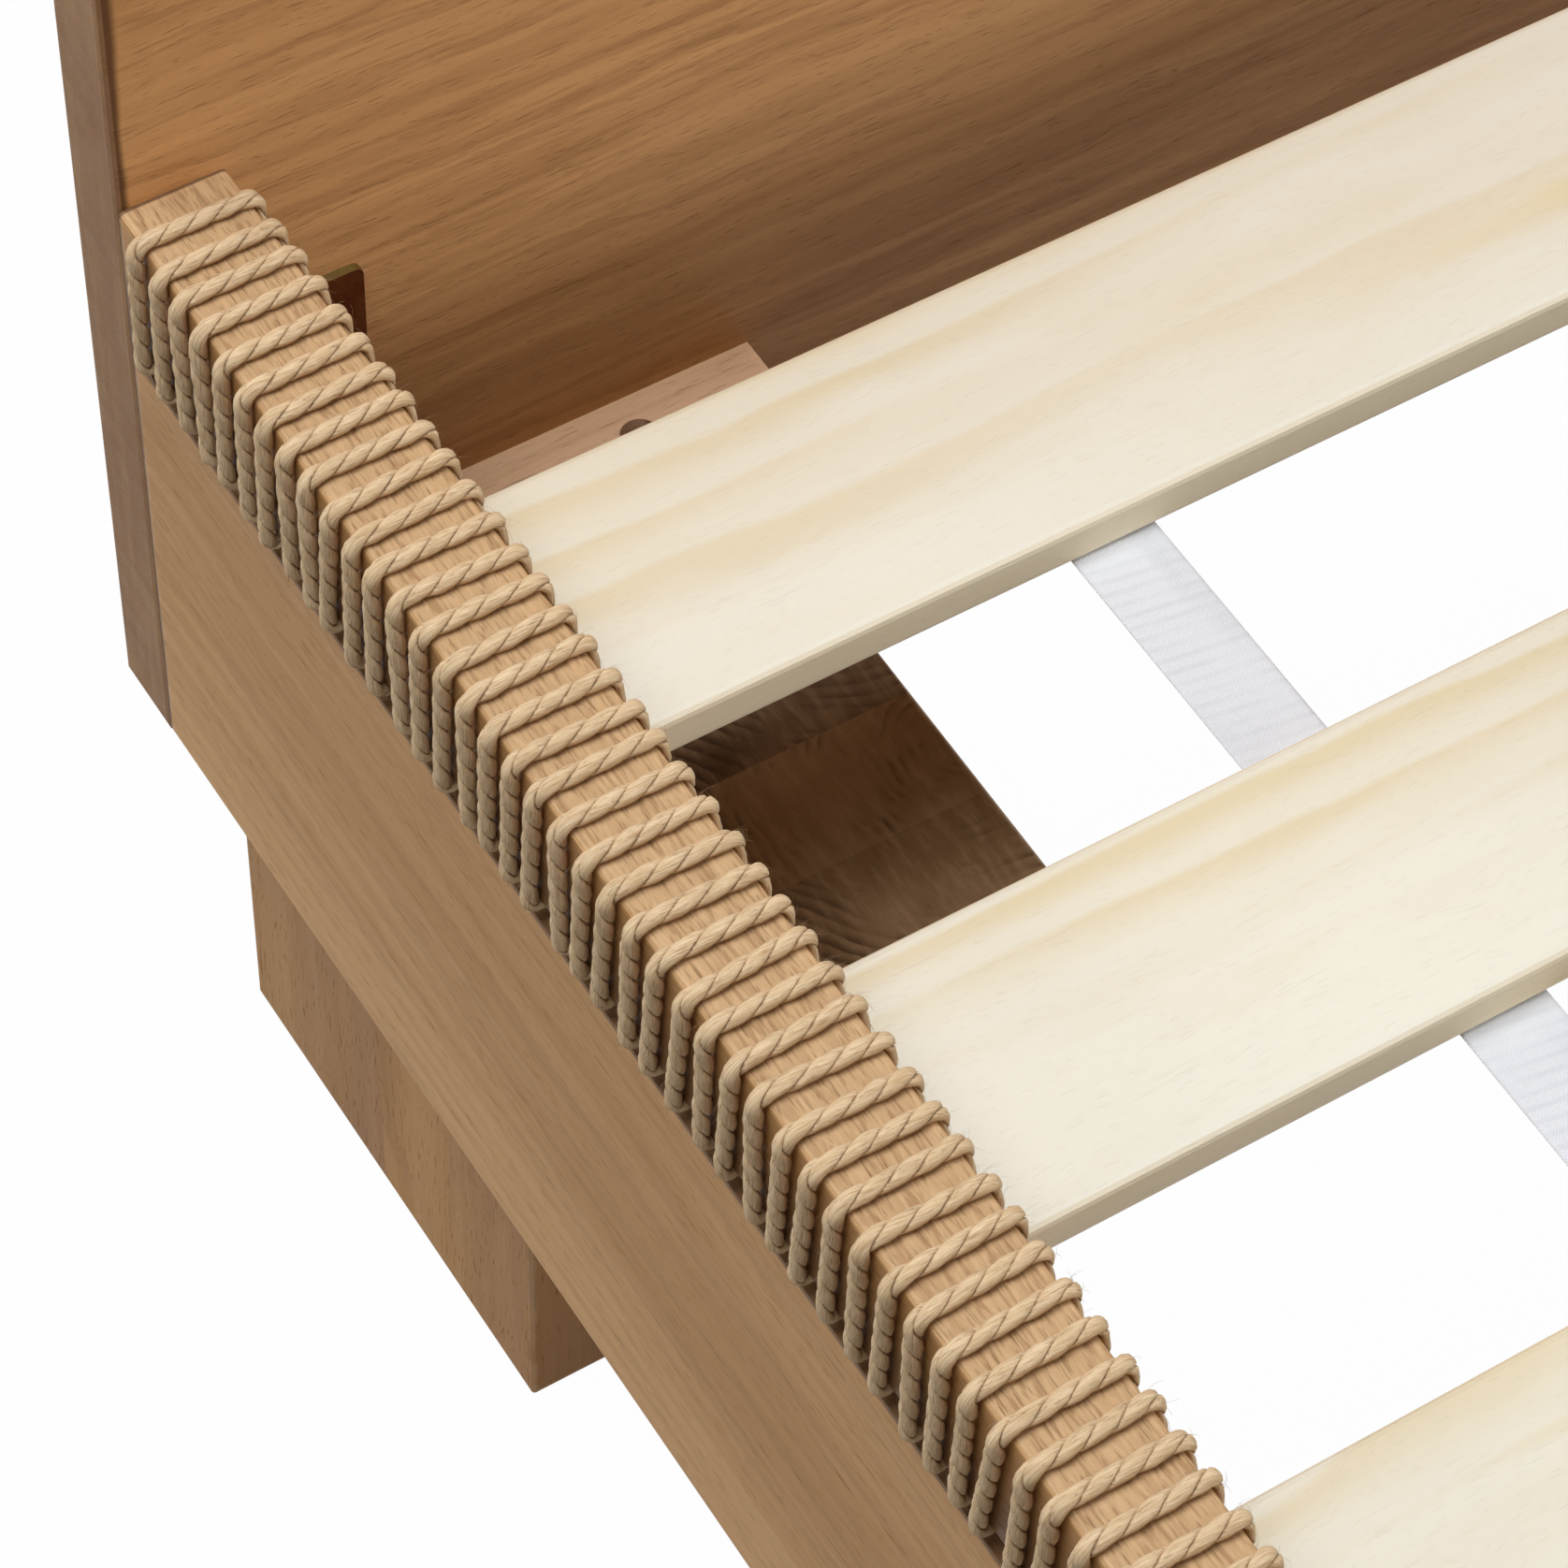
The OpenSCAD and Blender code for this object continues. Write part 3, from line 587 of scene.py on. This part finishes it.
# One ply, half of the cord's section: degrees from its middle, and reach as a share of the radius
finePly = ((-180, 0.02), (-88, 0.58), (-79, 0.79), (-62, 0.92), (-32, 1.0), (0, 1.04), (32, 1.0),
           (62, 0.92), (79, 0.79), (88, 0.58))
plainPly = ((-180, 0.02), (-86, 0.62), (-64, 0.91), (-22, 1.02), (22, 1.02), (64, 0.91), (86, 0.62))


def bendPoints(x, z, radius, start, steps):
    # a quarter bend, clockwise from the start angle
    angles = [math.radians(start - 90 * i / steps) for i in range(steps + 1)]
    return [(x + radius * math.cos(t), z + radius * math.sin(t)) for t in angles]


def follow(route, bend, fromY, toY, step, pulled):
    # straight on to the bend's first point, and round it; pulled is the cord's thickness at both its ends
    start, target = np.array(route[-1]), np.array((bend[0][0], fromY, bend[0][1], pulled[0]))
    count = max(1, round(float(np.linalg.norm(target[:3] - start[:3])) / step))
    route.extend(tuple(start + (target - start) * i / count) for i in range(1, count + 1))
    last = len(bend) - 1
    for i in range(1, last + 1):
        share = i / last
        route.append((bend[i][0], fromY + (toY - fromY) * share, bend[i][1],
                      pulled[0] + (pulled[1] - pulled[0]) * share))


def cordRoute(w, fineTurns, dice):
    bar, ease, lift, wide = w["barHeight"], w["edgeEase"], w["lift"], w["railWidth"]
    holeZ, holeY, holeX = w["holeZ"], w["holeY"], wide - w["holeDepth"]
    bendR = ease + lift
    bentX = wide + w["holeBend"]
    foot, outer, top, inner = w["pulled"]
    route = [(holeX, holeY, holeZ, 1.0)]
    marks = []
    step, steps = w["fine" if fineTurns else "plain"]
    follow(route, bendPoints(bentX, holeZ - bendR, bendR, 90, steps), holeY, holeY, step, (1.0, w["holeThick"]))
    early, late = (w["firstTurn"] - lead for lead in w["leadIn"])
    follow(route, bendPoints(wide, -bar, lift, 0, steps), early, late, step, (inner, inner))
    for turn in range(w["turns"]):
        marks.append(len(route) - 1)
        step, steps = w["fine" if turn < fineTurns else "plain"]
        lowSteps = max(3, steps - 2)
        y = w["firstTurn"] + w["pitch"] * turn
        high, across = dice.normal(0, w["wander"], 2).clip(-w["mostWander"], w["mostWander"])
        low = np.clip(dice.normal(0, w["lowWander"]), -w["lowMost"], w["lowMost"]) - w["lean"]
        slack = w["slack"] * dice.beta(*w["slackOdds"])
        last = turn == w["turns"] - 1
        follow(route, bendPoints(-w["slackInwards"] * slack, -bar - slack, lift, 270, lowSteps),
               y + low, y + low, step, (foot, foot))
        follow(route, bendPoints(ease, -ease, bendR, 180, steps), y + high, y + high, step, (outer, top))
        if last:
            across = w["lastAcross"]
        follow(route, bendPoints(wide - ease, -ease, bendR, 90, steps), y + across, y + across, step, (top, inner))
        if last:
            endY = w["railLength"] - holeY
            follow(route, bendPoints(bentX, holeZ + bendR, bendR, 0, steps), endY, endY, step,
                   (w["holeThick"], 1.0))
            follow(route, [(holeX, holeZ)], endY, endY, step, (1.0, 1.0))
        else:
            early, late = (y + share * w["pitch"] for share in w["crossOver"])
            follow(route, bendPoints(wide, -bar, lift, 0, lowSteps), early, late, step, (inner, inner))
    marks.append(len(route) - 1)
    route = np.array(route)
    for _ in range(w["easings"]):   # eases the sideways turns and leaves the bends round the bar
        route[1:-1, 1] = (route[:-2, 1] + 2 * route[1:-1, 1] + route[2:, 1]) / 4
    return route[:, :3], route[:, 3], marks


def cordBasis(w, route, side):
    # world places, with the directions along the cord, out from the bar and sideways
    x, y, z = route.T
    place = np.column_stack((side * (w["outerX"] - x), w["headY"] - y, w["topZ"] + z))
    along = np.gradient(place, axis=0)
    along /= np.linalg.norm(along, axis=1)[:, None]
    out = np.cross(along, (0, 1, 0)) * -side
    out /= np.linalg.norm(out, axis=1)[:, None]
    return place, along, out, np.cross(along, out)


def softNoise(distance, length, dice):
    # a slow wander along the cord, about -1 to 1
    return sum(np.sin(distance / length * k + dice.uniform(0, 6.28)) / 3 for k in (1.0, 2.3, 4.1))


def sectionPoint(w, out, sideways, pulled, angle, reach):
    # a point of the cord's section, drawn in to the wood where the cord is taut and swollen where it is loose
    loose = np.maximum(pulled - 1, 0)
    high = pulled * reach * np.cos(angle) + (pulled - 1 + yarn["looseRise"] * loose) * w["radius"]
    wide = (1 + yarn["tightSpread"] * (1 - pulled) + yarn["looseSpread"] * loose) * reach * np.sin(angle)
    return high[..., None] * out + wide[..., None] * sideways


def twistedMesh(w, basis, distance, twist, pulled, ply, dice):
    # the two plies, with the angle round the cord in one UV layer and the angle round the ply in the other
    place, _, out, sideways = basis
    rings, sides = len(place), len(ply)
    angles = np.radians([a for a, _ in ply])
    points, faces, marks, plySides = [], [], [], []
    swellApart, closedApart, marksApart = yarn["apart"]
    for second in (0, 1):
        middle = twist + math.pi * second
        angle = middle[:, None] + angles
        swell = 1 + yarn["swell"] * softNoise(distance + swellApart * second, yarn["swellLength"], dice)
        rough = dice.normal(0, yarn["uneven"], (rings, sides))
        rough[1:-1] = (rough[:-2] + 2 * rough[1:-1] + rough[2:]) / 3
        # the crease between the plies is deep in places and nearly closed in others
        closed = 0.5 + 0.5 * softNoise(distance + closedApart * second, yarn["closedLength"], dice)
        power = yarn["openPower"] - yarn["closedPower"] * closed.clip(0, 1)[:, None]
        size = np.array([r for _, r in ply]) ** power
        size[:, 0] = ply[0][1]
        size *= w["radius"] * swell[:, None] * (1 + rough)
        ring = place[:, None] + sectionPoint(w, out[:, None], sideways[:, None], pulled[:, None], angle, size)
        start = second * rings * sides
        points.append(ring.reshape(-1, 3))
        faces += tubeFaces(rings, sides, start)
        i, k = np.meshgrid(np.arange(rings - 1), np.arange(sides), indexing="ij")
        corners = (i, k), (i, k + 1), (i + 1, k + 1), (i + 1, k)
        turns = np.append(angles, angles[0] + math.tau) / math.tau
        now = middle / math.tau
        u = np.stack([distance[i] for i, _ in corners], -1) / 100 + second * marksApart
        v = np.stack([turns[k] + now[i] for i, k in corners], -1)
        across = np.stack([turns[k] for _, k in corners], -1).ravel()
        marks += [np.stack((u, v), -1).reshape(-1, 2), np.zeros((2 * sides, 2))]
        plySides += [np.stack((across, across), -1), np.zeros((2 * sides, 2))]
    return np.concatenate(points) * mm, faces, np.concatenate(marks), np.concatenate(plySides)


cordLook = {
    "light": shade(229, 204, 168), "dark": shade(213, 184, 145), "shadow": shade(177, 139, 98),
    "bright": shade(241, 221, 190), "crease": shade(96, 60, 32),
    "strands": (100.0, 12.0),   # along and round the cord, for the four noises
    "fine": ((0.16, 3.4, 1), 4, 0.65, 0.2), "coarse": ((0.07, 1.0, 1), 3, 0.55, 0.3),
    "patch": ((0.035, 0.15, 1), 2, 0.5), "breaks": ((0.45, 0.12, 1), 2, 0.5),
    # where each mark sets in and is full, with its least and most strength
    "coarseCut": (0.32, 0.68), "darkCut": (0.50, 0.68, 0.0, 0.8), "brightCut": (0.47, 0.32, 0.0, 0.75),
    "patchCut": (0.5, 0.75, 0.0, 0.35), "creaseCut": (0.195, 0.245), "woodSideShadeCut": (0.1, -0.7),
    "footCut": (-0.2, 0.9, 0.16, 0.62), "breakCut": (0.40, 0.62, 0.05, 1.0), "woodSideShadeShare": 0.45,
    "rough": 0.68, "roughFine": 0.2, "highFine": 0.7, "highCoarse": 0.6, "relief": 0.00045,
    "shine": 0.15, "sheen": 0.05, "sheenRough": 0.5,
}


def cordMaterial(look):
    material, tree, shader = newMaterial("twistedCord")
    u, v = split(tree, tree.nodes.new("ShaderNodeTexCoord").outputs["UV"])[:2]
    strands = join(tree, *(calc(tree, "MULTIPLY", *pair) for pair in zip((u, v), look["strands"])), 0.0)
    fine, coarse, patch = (noise(tree, strands, *look[name]) for name in ("fine", "coarse", "patch"))
    side = split(tree, addNode(tree, "ShaderNodeUVMap", uv_map="plySide").outputs[0])[0]
    crease = smooth(tree, calc(tree, "ABSOLUTE", side), *look["creaseCut"])
    roundCord = calc(tree, "MULTIPLY", v, math.tau)
    woodSideShade = smooth(tree, calc(tree, "COSINE", roundCord), *look["woodSideShadeCut"])
    tone = blendColour(tree, smooth(tree, coarse, *look["coarseCut"]), look["light"], look["dark"])
    for mark, cut, colour in ((fine, "darkCut", "shadow"), (fine, "brightCut", "bright"),
                              (patch, "patchCut", "dark")):
        tone = blendColour(tree, smooth(tree, mark, *look[cut]), tone, look[colour])
    # painted shade: the side of the cord that lies against the wood is darkened towards the shadow colour
    tone = blendColour(tree, calc(tree, "MULTIPLY", woodSideShade, look["woodSideShadeShare"]), tone, look["shadow"])
    # painted shade in the creases between the plies, in some more than in others, and most on the side away from
    # the head, which the light leaves in shade
    footSide = smooth(tree, calc(tree, "SINE", roundCord), *look["footCut"])
    broken = smooth(tree, noise(tree, strands, *look["breaks"]), *look["breakCut"])
    creaseShade = calc(tree, "MULTIPLY", crease, calc(tree, "MULTIPLY", footSide, broken))
    tone = blendColour(tree, creaseShade, tone, look["crease"])
    rough = calc(tree, "MULTIPLY_ADD", fine, look["roughFine"], look["rough"])
    height = calc(tree, "MULTIPLY_ADD", fine, look["highFine"], calc(tree, "MULTIPLY", coarse, look["highCoarse"]))
    fill(tree, shader, {"Base Color": tone, "Roughness": rough, "Normal": bump(tree, height, look["relief"]),
                        "Specular IOR Level": look["shine"], "Sheen Weight": look["sheen"],
                        "Sheen Roughness": look["sheenRough"]})
    return material


def windCord():
    w = winding
    material = cordMaterial(cordLook)
    for sideName, side, fineTurns in (("left", -1, w["fineTurns"]), ("right", 1, 0)):
        dice = np.random.default_rng(w["seed"] + side)
        route, pulled, marks = cordRoute(w, fineTurns, dice)
        basis = cordBasis(w, route, side)
        distance = np.concatenate(([0], np.cumsum(np.linalg.norm(np.diff(basis[0], axis=0), axis=1))))
        print("cord on the", sideName, "rail:", round(float(distance[-1]) / 1000, 2), "m")
        twist = -math.tau * distance / yarn["lay"]
        twist += yarn["twistSway"] * softNoise(distance, yarn["swayLength"], dice)
        cuts = w[sideName + "Cuts"]
        for number, (first, last) in enumerate(zip(cuts, cuts[1:]), 1):
            part = slice(marks[first] if first else 0, marks[last] + 1)
            ply = finePly if last <= fineTurns else plainPly
            points, faces, *spots = twistedMesh(w, [b[part] for b in basis], distance[part], twist[part],
                                                pulled[part], ply, dice)
            stands = (sideName + "_rope_turns", sideName + "_rope_sleeve") if number == 1 else ()
            piece = addPiece(f"{sideName}_cord_{number}", points, faces, "frame", "cord", material, stands)
            for layerName, values in zip(("cordLength", "plySide"), spots):
                layer = piece.data.uv_layers.new(name=layerName)
                layer.uv.foreach_set("vector", values.astype(np.float32).ravel())
        if fineTurns:
            addFibres(w, basis, pulled, marks[fineTurns], material, dice)


def addFibres(w, basis, pulled, limit, material, dice):
    # stray fibres, each a thin closed rod that leaves the cord and bends back along it
    f = fibres
    rings, sides = f["rings"], f["sides"]
    place, along, out, sideways = basis
    points, faces = [], []
    for _ in range(f["count"]):
        i = int(dice.integers(f["firstPoint"], limit))
        lean = dice.uniform(-f["lean"], f["lean"])
        way = math.cos(lean) * out[i] + math.sin(lean) * sideways[i]
        turned = np.cross(along[i], way)
        length = dice.uniform(*f["length"])
        rise = dice.uniform(*f["rise"])
        drift = dice.normal(0, f["drift"])
        forward = dice.choice((-1, 1))
        base = len(points)
        root = place[i] + sectionPoint(w, out[i], sideways[i], pulled[i], np.array(lean), w["radius"] * f["root"])
        for j in range(rings):
            t = j / (rings - 1)
            arch = rise * math.sin(t * f["arch"]) * f["archShare"]
            spot = root + way * arch + along[i] * forward * length * t + turned * drift * t * t
            thick = f["radius"] * (1 - f["taper"] * t)
            for k in range(sides):
                a = math.tau * k / sides
                points.append((spot + thick * (math.cos(a) * way + math.sin(a) * turned)) * mm)
        rod = tubeFaces(rings, sides, base)
        faces += rod if forward > 0 else [face[::-1] for face in rod]
    piece = addPiece("left_cord_fibres", points, faces, "frame", "cord", material)
    piece.data.uv_layers.new(name="cordLength")


windCord()
print("stage: cord wound on")


# The two tapes that space the slats: flat woven tape with crosswise ribs and a firm edge, in millimetres

tape = {
    "x": 515.0, "width": 30.0, "thick": 1.2, "topZ": 281.0, "headY": 910.0, "footY": -939.0,
    "ribGap": 4.8, "ribStep": 6, "ribDepth": 0.24, "skew": 0.16,
    "edgeWidth": 2.4, "edgeShare": 0.35, "seamDip": 0.05, "rimWidth": 0.15, "rimDip": 0.30, "leastDip": 0.06,
}
tapeLook = {
    "light": shade(233, 237, 245), "dark": shade(209, 214, 224), "warp": 0.0011, "weft": 0.0012,
    "fuzz": ((1500, 700, 900), 3, 0.6), "soil": ((40, 14, 20), 3, 0.5), "uneven": ((60, 90, 60), 3, 0.5),
    "soilCut": (0.45, 0.75, 0.0, 0.5), "unevenCut": (0.3, 0.7, 0.05, 0.45), "ribShadeCut": (0.2, -1.0),
    "weaveShadeCut": (0.2, -0.9, 0.0, 0.4), "rough": 0.72, "roughFuzz": 0.15, "sheen": 0.1,
    "highWeave": 0.5, "highFuzz": 0.5, "relief": 0.00012,
}


def tapeMaterial(look):
    material, tree, shader = newMaterial("wovenTape")
    place = tree.nodes.new("ShaderNodeTexCoord").outputs["Object"]
    x, y, _ = split(tree, place)
    warp = calc(tree, "SINE", calc(tree, "MULTIPLY", x, math.tau / look["warp"]))
    weft = calc(tree, "SINE", calc(tree, "MULTIPLY", y, math.tau / look["weft"]))
    weave = calc(tree, "MULTIPLY", warp, weft)
    slanted = calc(tree, "MULTIPLY_ADD", x, tape["skew"], y)
    rib = calc(tree, "COSINE", calc(tree, "MULTIPLY", slanted, math.tau / (tape["ribGap"] * mm)))
    fuzz, soil = (noise(tree, place, *look[name]) for name in ("fuzz", "soil"))
    tone = blendColour(tree, smooth(tree, soil, *look["soilCut"]), look["light"], look["dark"])
    uneven = smooth(tree, noise(tree, place, *look["uneven"]), *look["unevenCut"])
    # painted shade: the hollows between the ribs are darker, more in some places than in others
    hollow = calc(tree, "MULTIPLY", smooth(tree, rib, *look["ribShadeCut"]), uneven)
    tone = blendColour(tree, hollow, tone, look["dark"])
    # painted shade: the low spots of the weave are darker
    tone = blendColour(tree, smooth(tree, weave, *look["weaveShadeCut"]), tone, look["dark"])
    rough = calc(tree, "MULTIPLY_ADD", fuzz, look["roughFuzz"], look["rough"])
    height = calc(tree, "MULTIPLY_ADD", weave, look["highWeave"], calc(tree, "MULTIPLY", fuzz, look["highFuzz"]))
    fill(tree, shader, {"Base Color": tone, "Roughness": rough, "Sheen Weight": look["sheen"],
                        "Normal": bump(tree, height, look["relief"])})
    return material


def weaveTapes():
    material = tapeMaterial(tapeLook)
    t = tape
    length = t["headY"] - t["footY"]
    rings = round(length / t["ribGap"]) * t["ribStep"] + 1
    half, edge, rim = t["width"] / 2, t["edgeWidth"], t["rimWidth"]
    middleZ = t["topZ"] - t["thick"] / 2
    right = [half / 2, half - edge, half - edge / 2, half - rim]
    across = [-x for x in right[::-1]] + [0] + right
    for sideName, side in (("left", -1), ("right", 1)):
        points = []
        for i in range(rings):
            y = t["headY"] - length * i / (rings - 1)
            top, bottom = [], []
            for x in across:
                atX = side * t["x"] + x
                hollow = 0.5 - 0.5 * math.cos(math.tau * (y + t["skew"] * atX) / t["ribGap"])
                inEdge = abs(x) in right[1:]
                dip = t["leastDip"] + t["ribDepth"] * hollow * (t["edgeShare"] if inEdge else 1)
                dip -= t["seamDip"] if abs(x) == right[2] else 0
                dip += t["rimDip"] if abs(x) == right[3] else 0
                top.append((atX, y, t["topZ"] - dip))
                bottom.append((atX, y, t["topZ"] - t["thick"] + dip))
            points += [*top, (side * t["x"] + half, y, middleZ), *bottom[::-1], (side * t["x"] - half, y, middleZ)]
        addPiece(sideName + "_tape", np.array(points) * mm, tubeFaces(rings, 2 * len(across) + 2), "slat_base",
                 "tape", material, (sideName + "_webbing",))


weaveTapes()
print("stage: tapes woven")


# Screws with a domed head and a cross recess, and staples that hold the tapes to the slats, in millimetres

screw = {
    "radius": 4.4, "sides": 24,
    "dome": ((1.0, 0.0), (1.0, 0.35), (0.92, 1.05), (0.76, 1.65), (0.60, 2.0)),     # share of radius, height
    "height": 2.2, "recess": 1.3, "armLong": 2.3, "armWide": 0.55, "armTaper": 0.72,
}
bracketScrews = {"reach": 22.55, "heights": (243, 293), "corners": (710, 1005), "flange": 3.0}
shoeScrews = {"across": 42.0, "heights": (224, 262), "face": 1002.0}
ledgerScrews = {"x": 678.0, "z": 258.5, "places": (-880, -530, -180, 180, 530, 880)}
staple = {"crown": 10.0, "leg": 2.0, "bend": 0.5, "wire": 0.9, "flatness": 0.7, "sides": 6, "z": 279.8,
          "gap": 12.0}


def screwHead(spin):
    # points of one head that stands on z = 0 and looks up, and its faces
    s = screw
    count, dome = s["sides"], s["dome"]
    points = []
    for share, z in dome:
        for k in range(count):
            a = math.tau * k / count
            points.append((s["radius"] * share * math.cos(a), s["radius"] * share * math.sin(a), z))
    faces = [tuple(range(count))[::-1], *ringQuads(len(dome), count)]
    long, wide = s["armLong"], s["armWide"]
    cross = []
    for c, q in ((1, 0), (0, 1), (-1, 0), (0, -1)):
        for x, y in ((long, wide), (wide, wide), (wide, long)):
            cross.append((c * x - q * y, q * x + c * y))
    top = (len(dome) - 1) * count
    corners = len(cross)        # half as many as the dome has sides
    rim, floor = len(points), len(points) + corners
    points += [(x, y, s["height"]) for x, y in cross]
    points += [(x * s["armTaper"], y * s["armTaper"], s["height"] - s["recess"]) for x, y in cross]
    for i in range(corners):
        j = (i + 1) % corners
        a, b, c = (top + (2 * i + step) % count for step in (1, 2, 3))
        faces.append((rim + i, a, b, c, rim + j))
        faces.append((rim + i, rim + j, floor + j, floor + i))
    faces.append(tuple(range(floor, floor + corners)))
    turn = Matrix.Rotation(spin, 3, "Z")
    return [turn @ Vector(p) for p in points], faces


def gather(parts):
    points, faces = [], []
    for some, group in parts:
        base = len(points)
        points += some
        faces += [tuple(base + i for i in face) for face in group]
    return [Vector(p) * mm for p in points], faces


def screwAt(place, facing, spin):
    points, faces = screwHead(spin)
    turn = Vector((0, 0, 1)).rotation_difference(Vector(facing)).to_matrix()
    return [turn @ p + Vector(place) for p in points], faces


def addScrews():
    dice = np.random.default_rng(5)
    corners = [(sx, sy) for sx in (-1, 1) for sy in (-1, 1)]
    (x, y), flange, reach = (bracketScrews[key] for key in ("corners", "flange", "reach"))
    brackets = []
    for sx, sy in corners:
        for z in bracketScrews["heights"]:
            for place, facing in (((sx * (x - flange), sy * (y - reach), z), (-sx, 0, 0)),
                                  ((sx * (x - reach), sy * (y - flange), z), (0, -sy, 0))):
                brackets.append(screwAt(place, facing, dice.uniform(0, 3)))
    shoes = [screwAt((sx * shoeScrews["across"], sy * shoeScrews["face"], z), (0, -sy, 0), dice.uniform(0, 3))
             for sx, sy in corners for z in shoeScrews["heights"]]
    ledgers = [screwAt((sx * ledgerScrews["x"], y, ledgerScrews["z"]), (-sx, 0, 0), dice.uniform(0, 3))
               for sx in (-1, 1) for y in ledgerScrews["places"]]
    for name, parts in (("bracket_screws", brackets), ("shoe_screws", shoes), ("ledger_screws", ledgers)):
        addPiece(name, *gather(parts), "frame", "gilt_steel", gilt)


def stapleAt(x, y, z):
    # a crown across the tape, with its two bent shoulders going up into the slat
    s = staple
    wire, half, leg, bend, sides = s["wire"] / 2, s["crown"] / 2, s["leg"], s["bend"], s["sides"]
    line = [(-half, leg), (-half, bend), (-half + bend, 0.0), (half - bend, 0.0), (half, bend), (half, leg)]
    points = []
    for i, (px, pz) in enumerate(line):
        before, after = line[max(i - 1, 0)], line[min(i + 1, len(line) - 1)]
        way = Vector((after[0] - before[0], 0, after[1] - before[1])).normalized()
        up = Vector((-way.z, 0, way.x))
        middle = Vector((x + px, y, z + pz - wire))
        for k in range(sides):
            a = math.tau * k / sides
            points.append(middle + up * (wire * math.cos(a)) + Vector((0, wire * s["flatness"] * math.sin(a), 0)))
    return points, [face[::-1] for face in tubeFaces(len(line), sides)]


def addStaples():
    parts = []
    for number in range(1, 11):
        low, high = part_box(f"slat_{number:02d}")
        middle = (low.y + high.y) / 2 / mm
        for side in (-1, 1):
            for offset in (-staple["gap"], staple["gap"]):
                parts.append(stapleAt(side * tape["x"], middle + offset, staple["z"]))
    addPiece("tape_staples", *gather(parts), "slat_base", "gilt_steel", gilt)


addScrews()
addStaples()
print("stage: screws and staples")
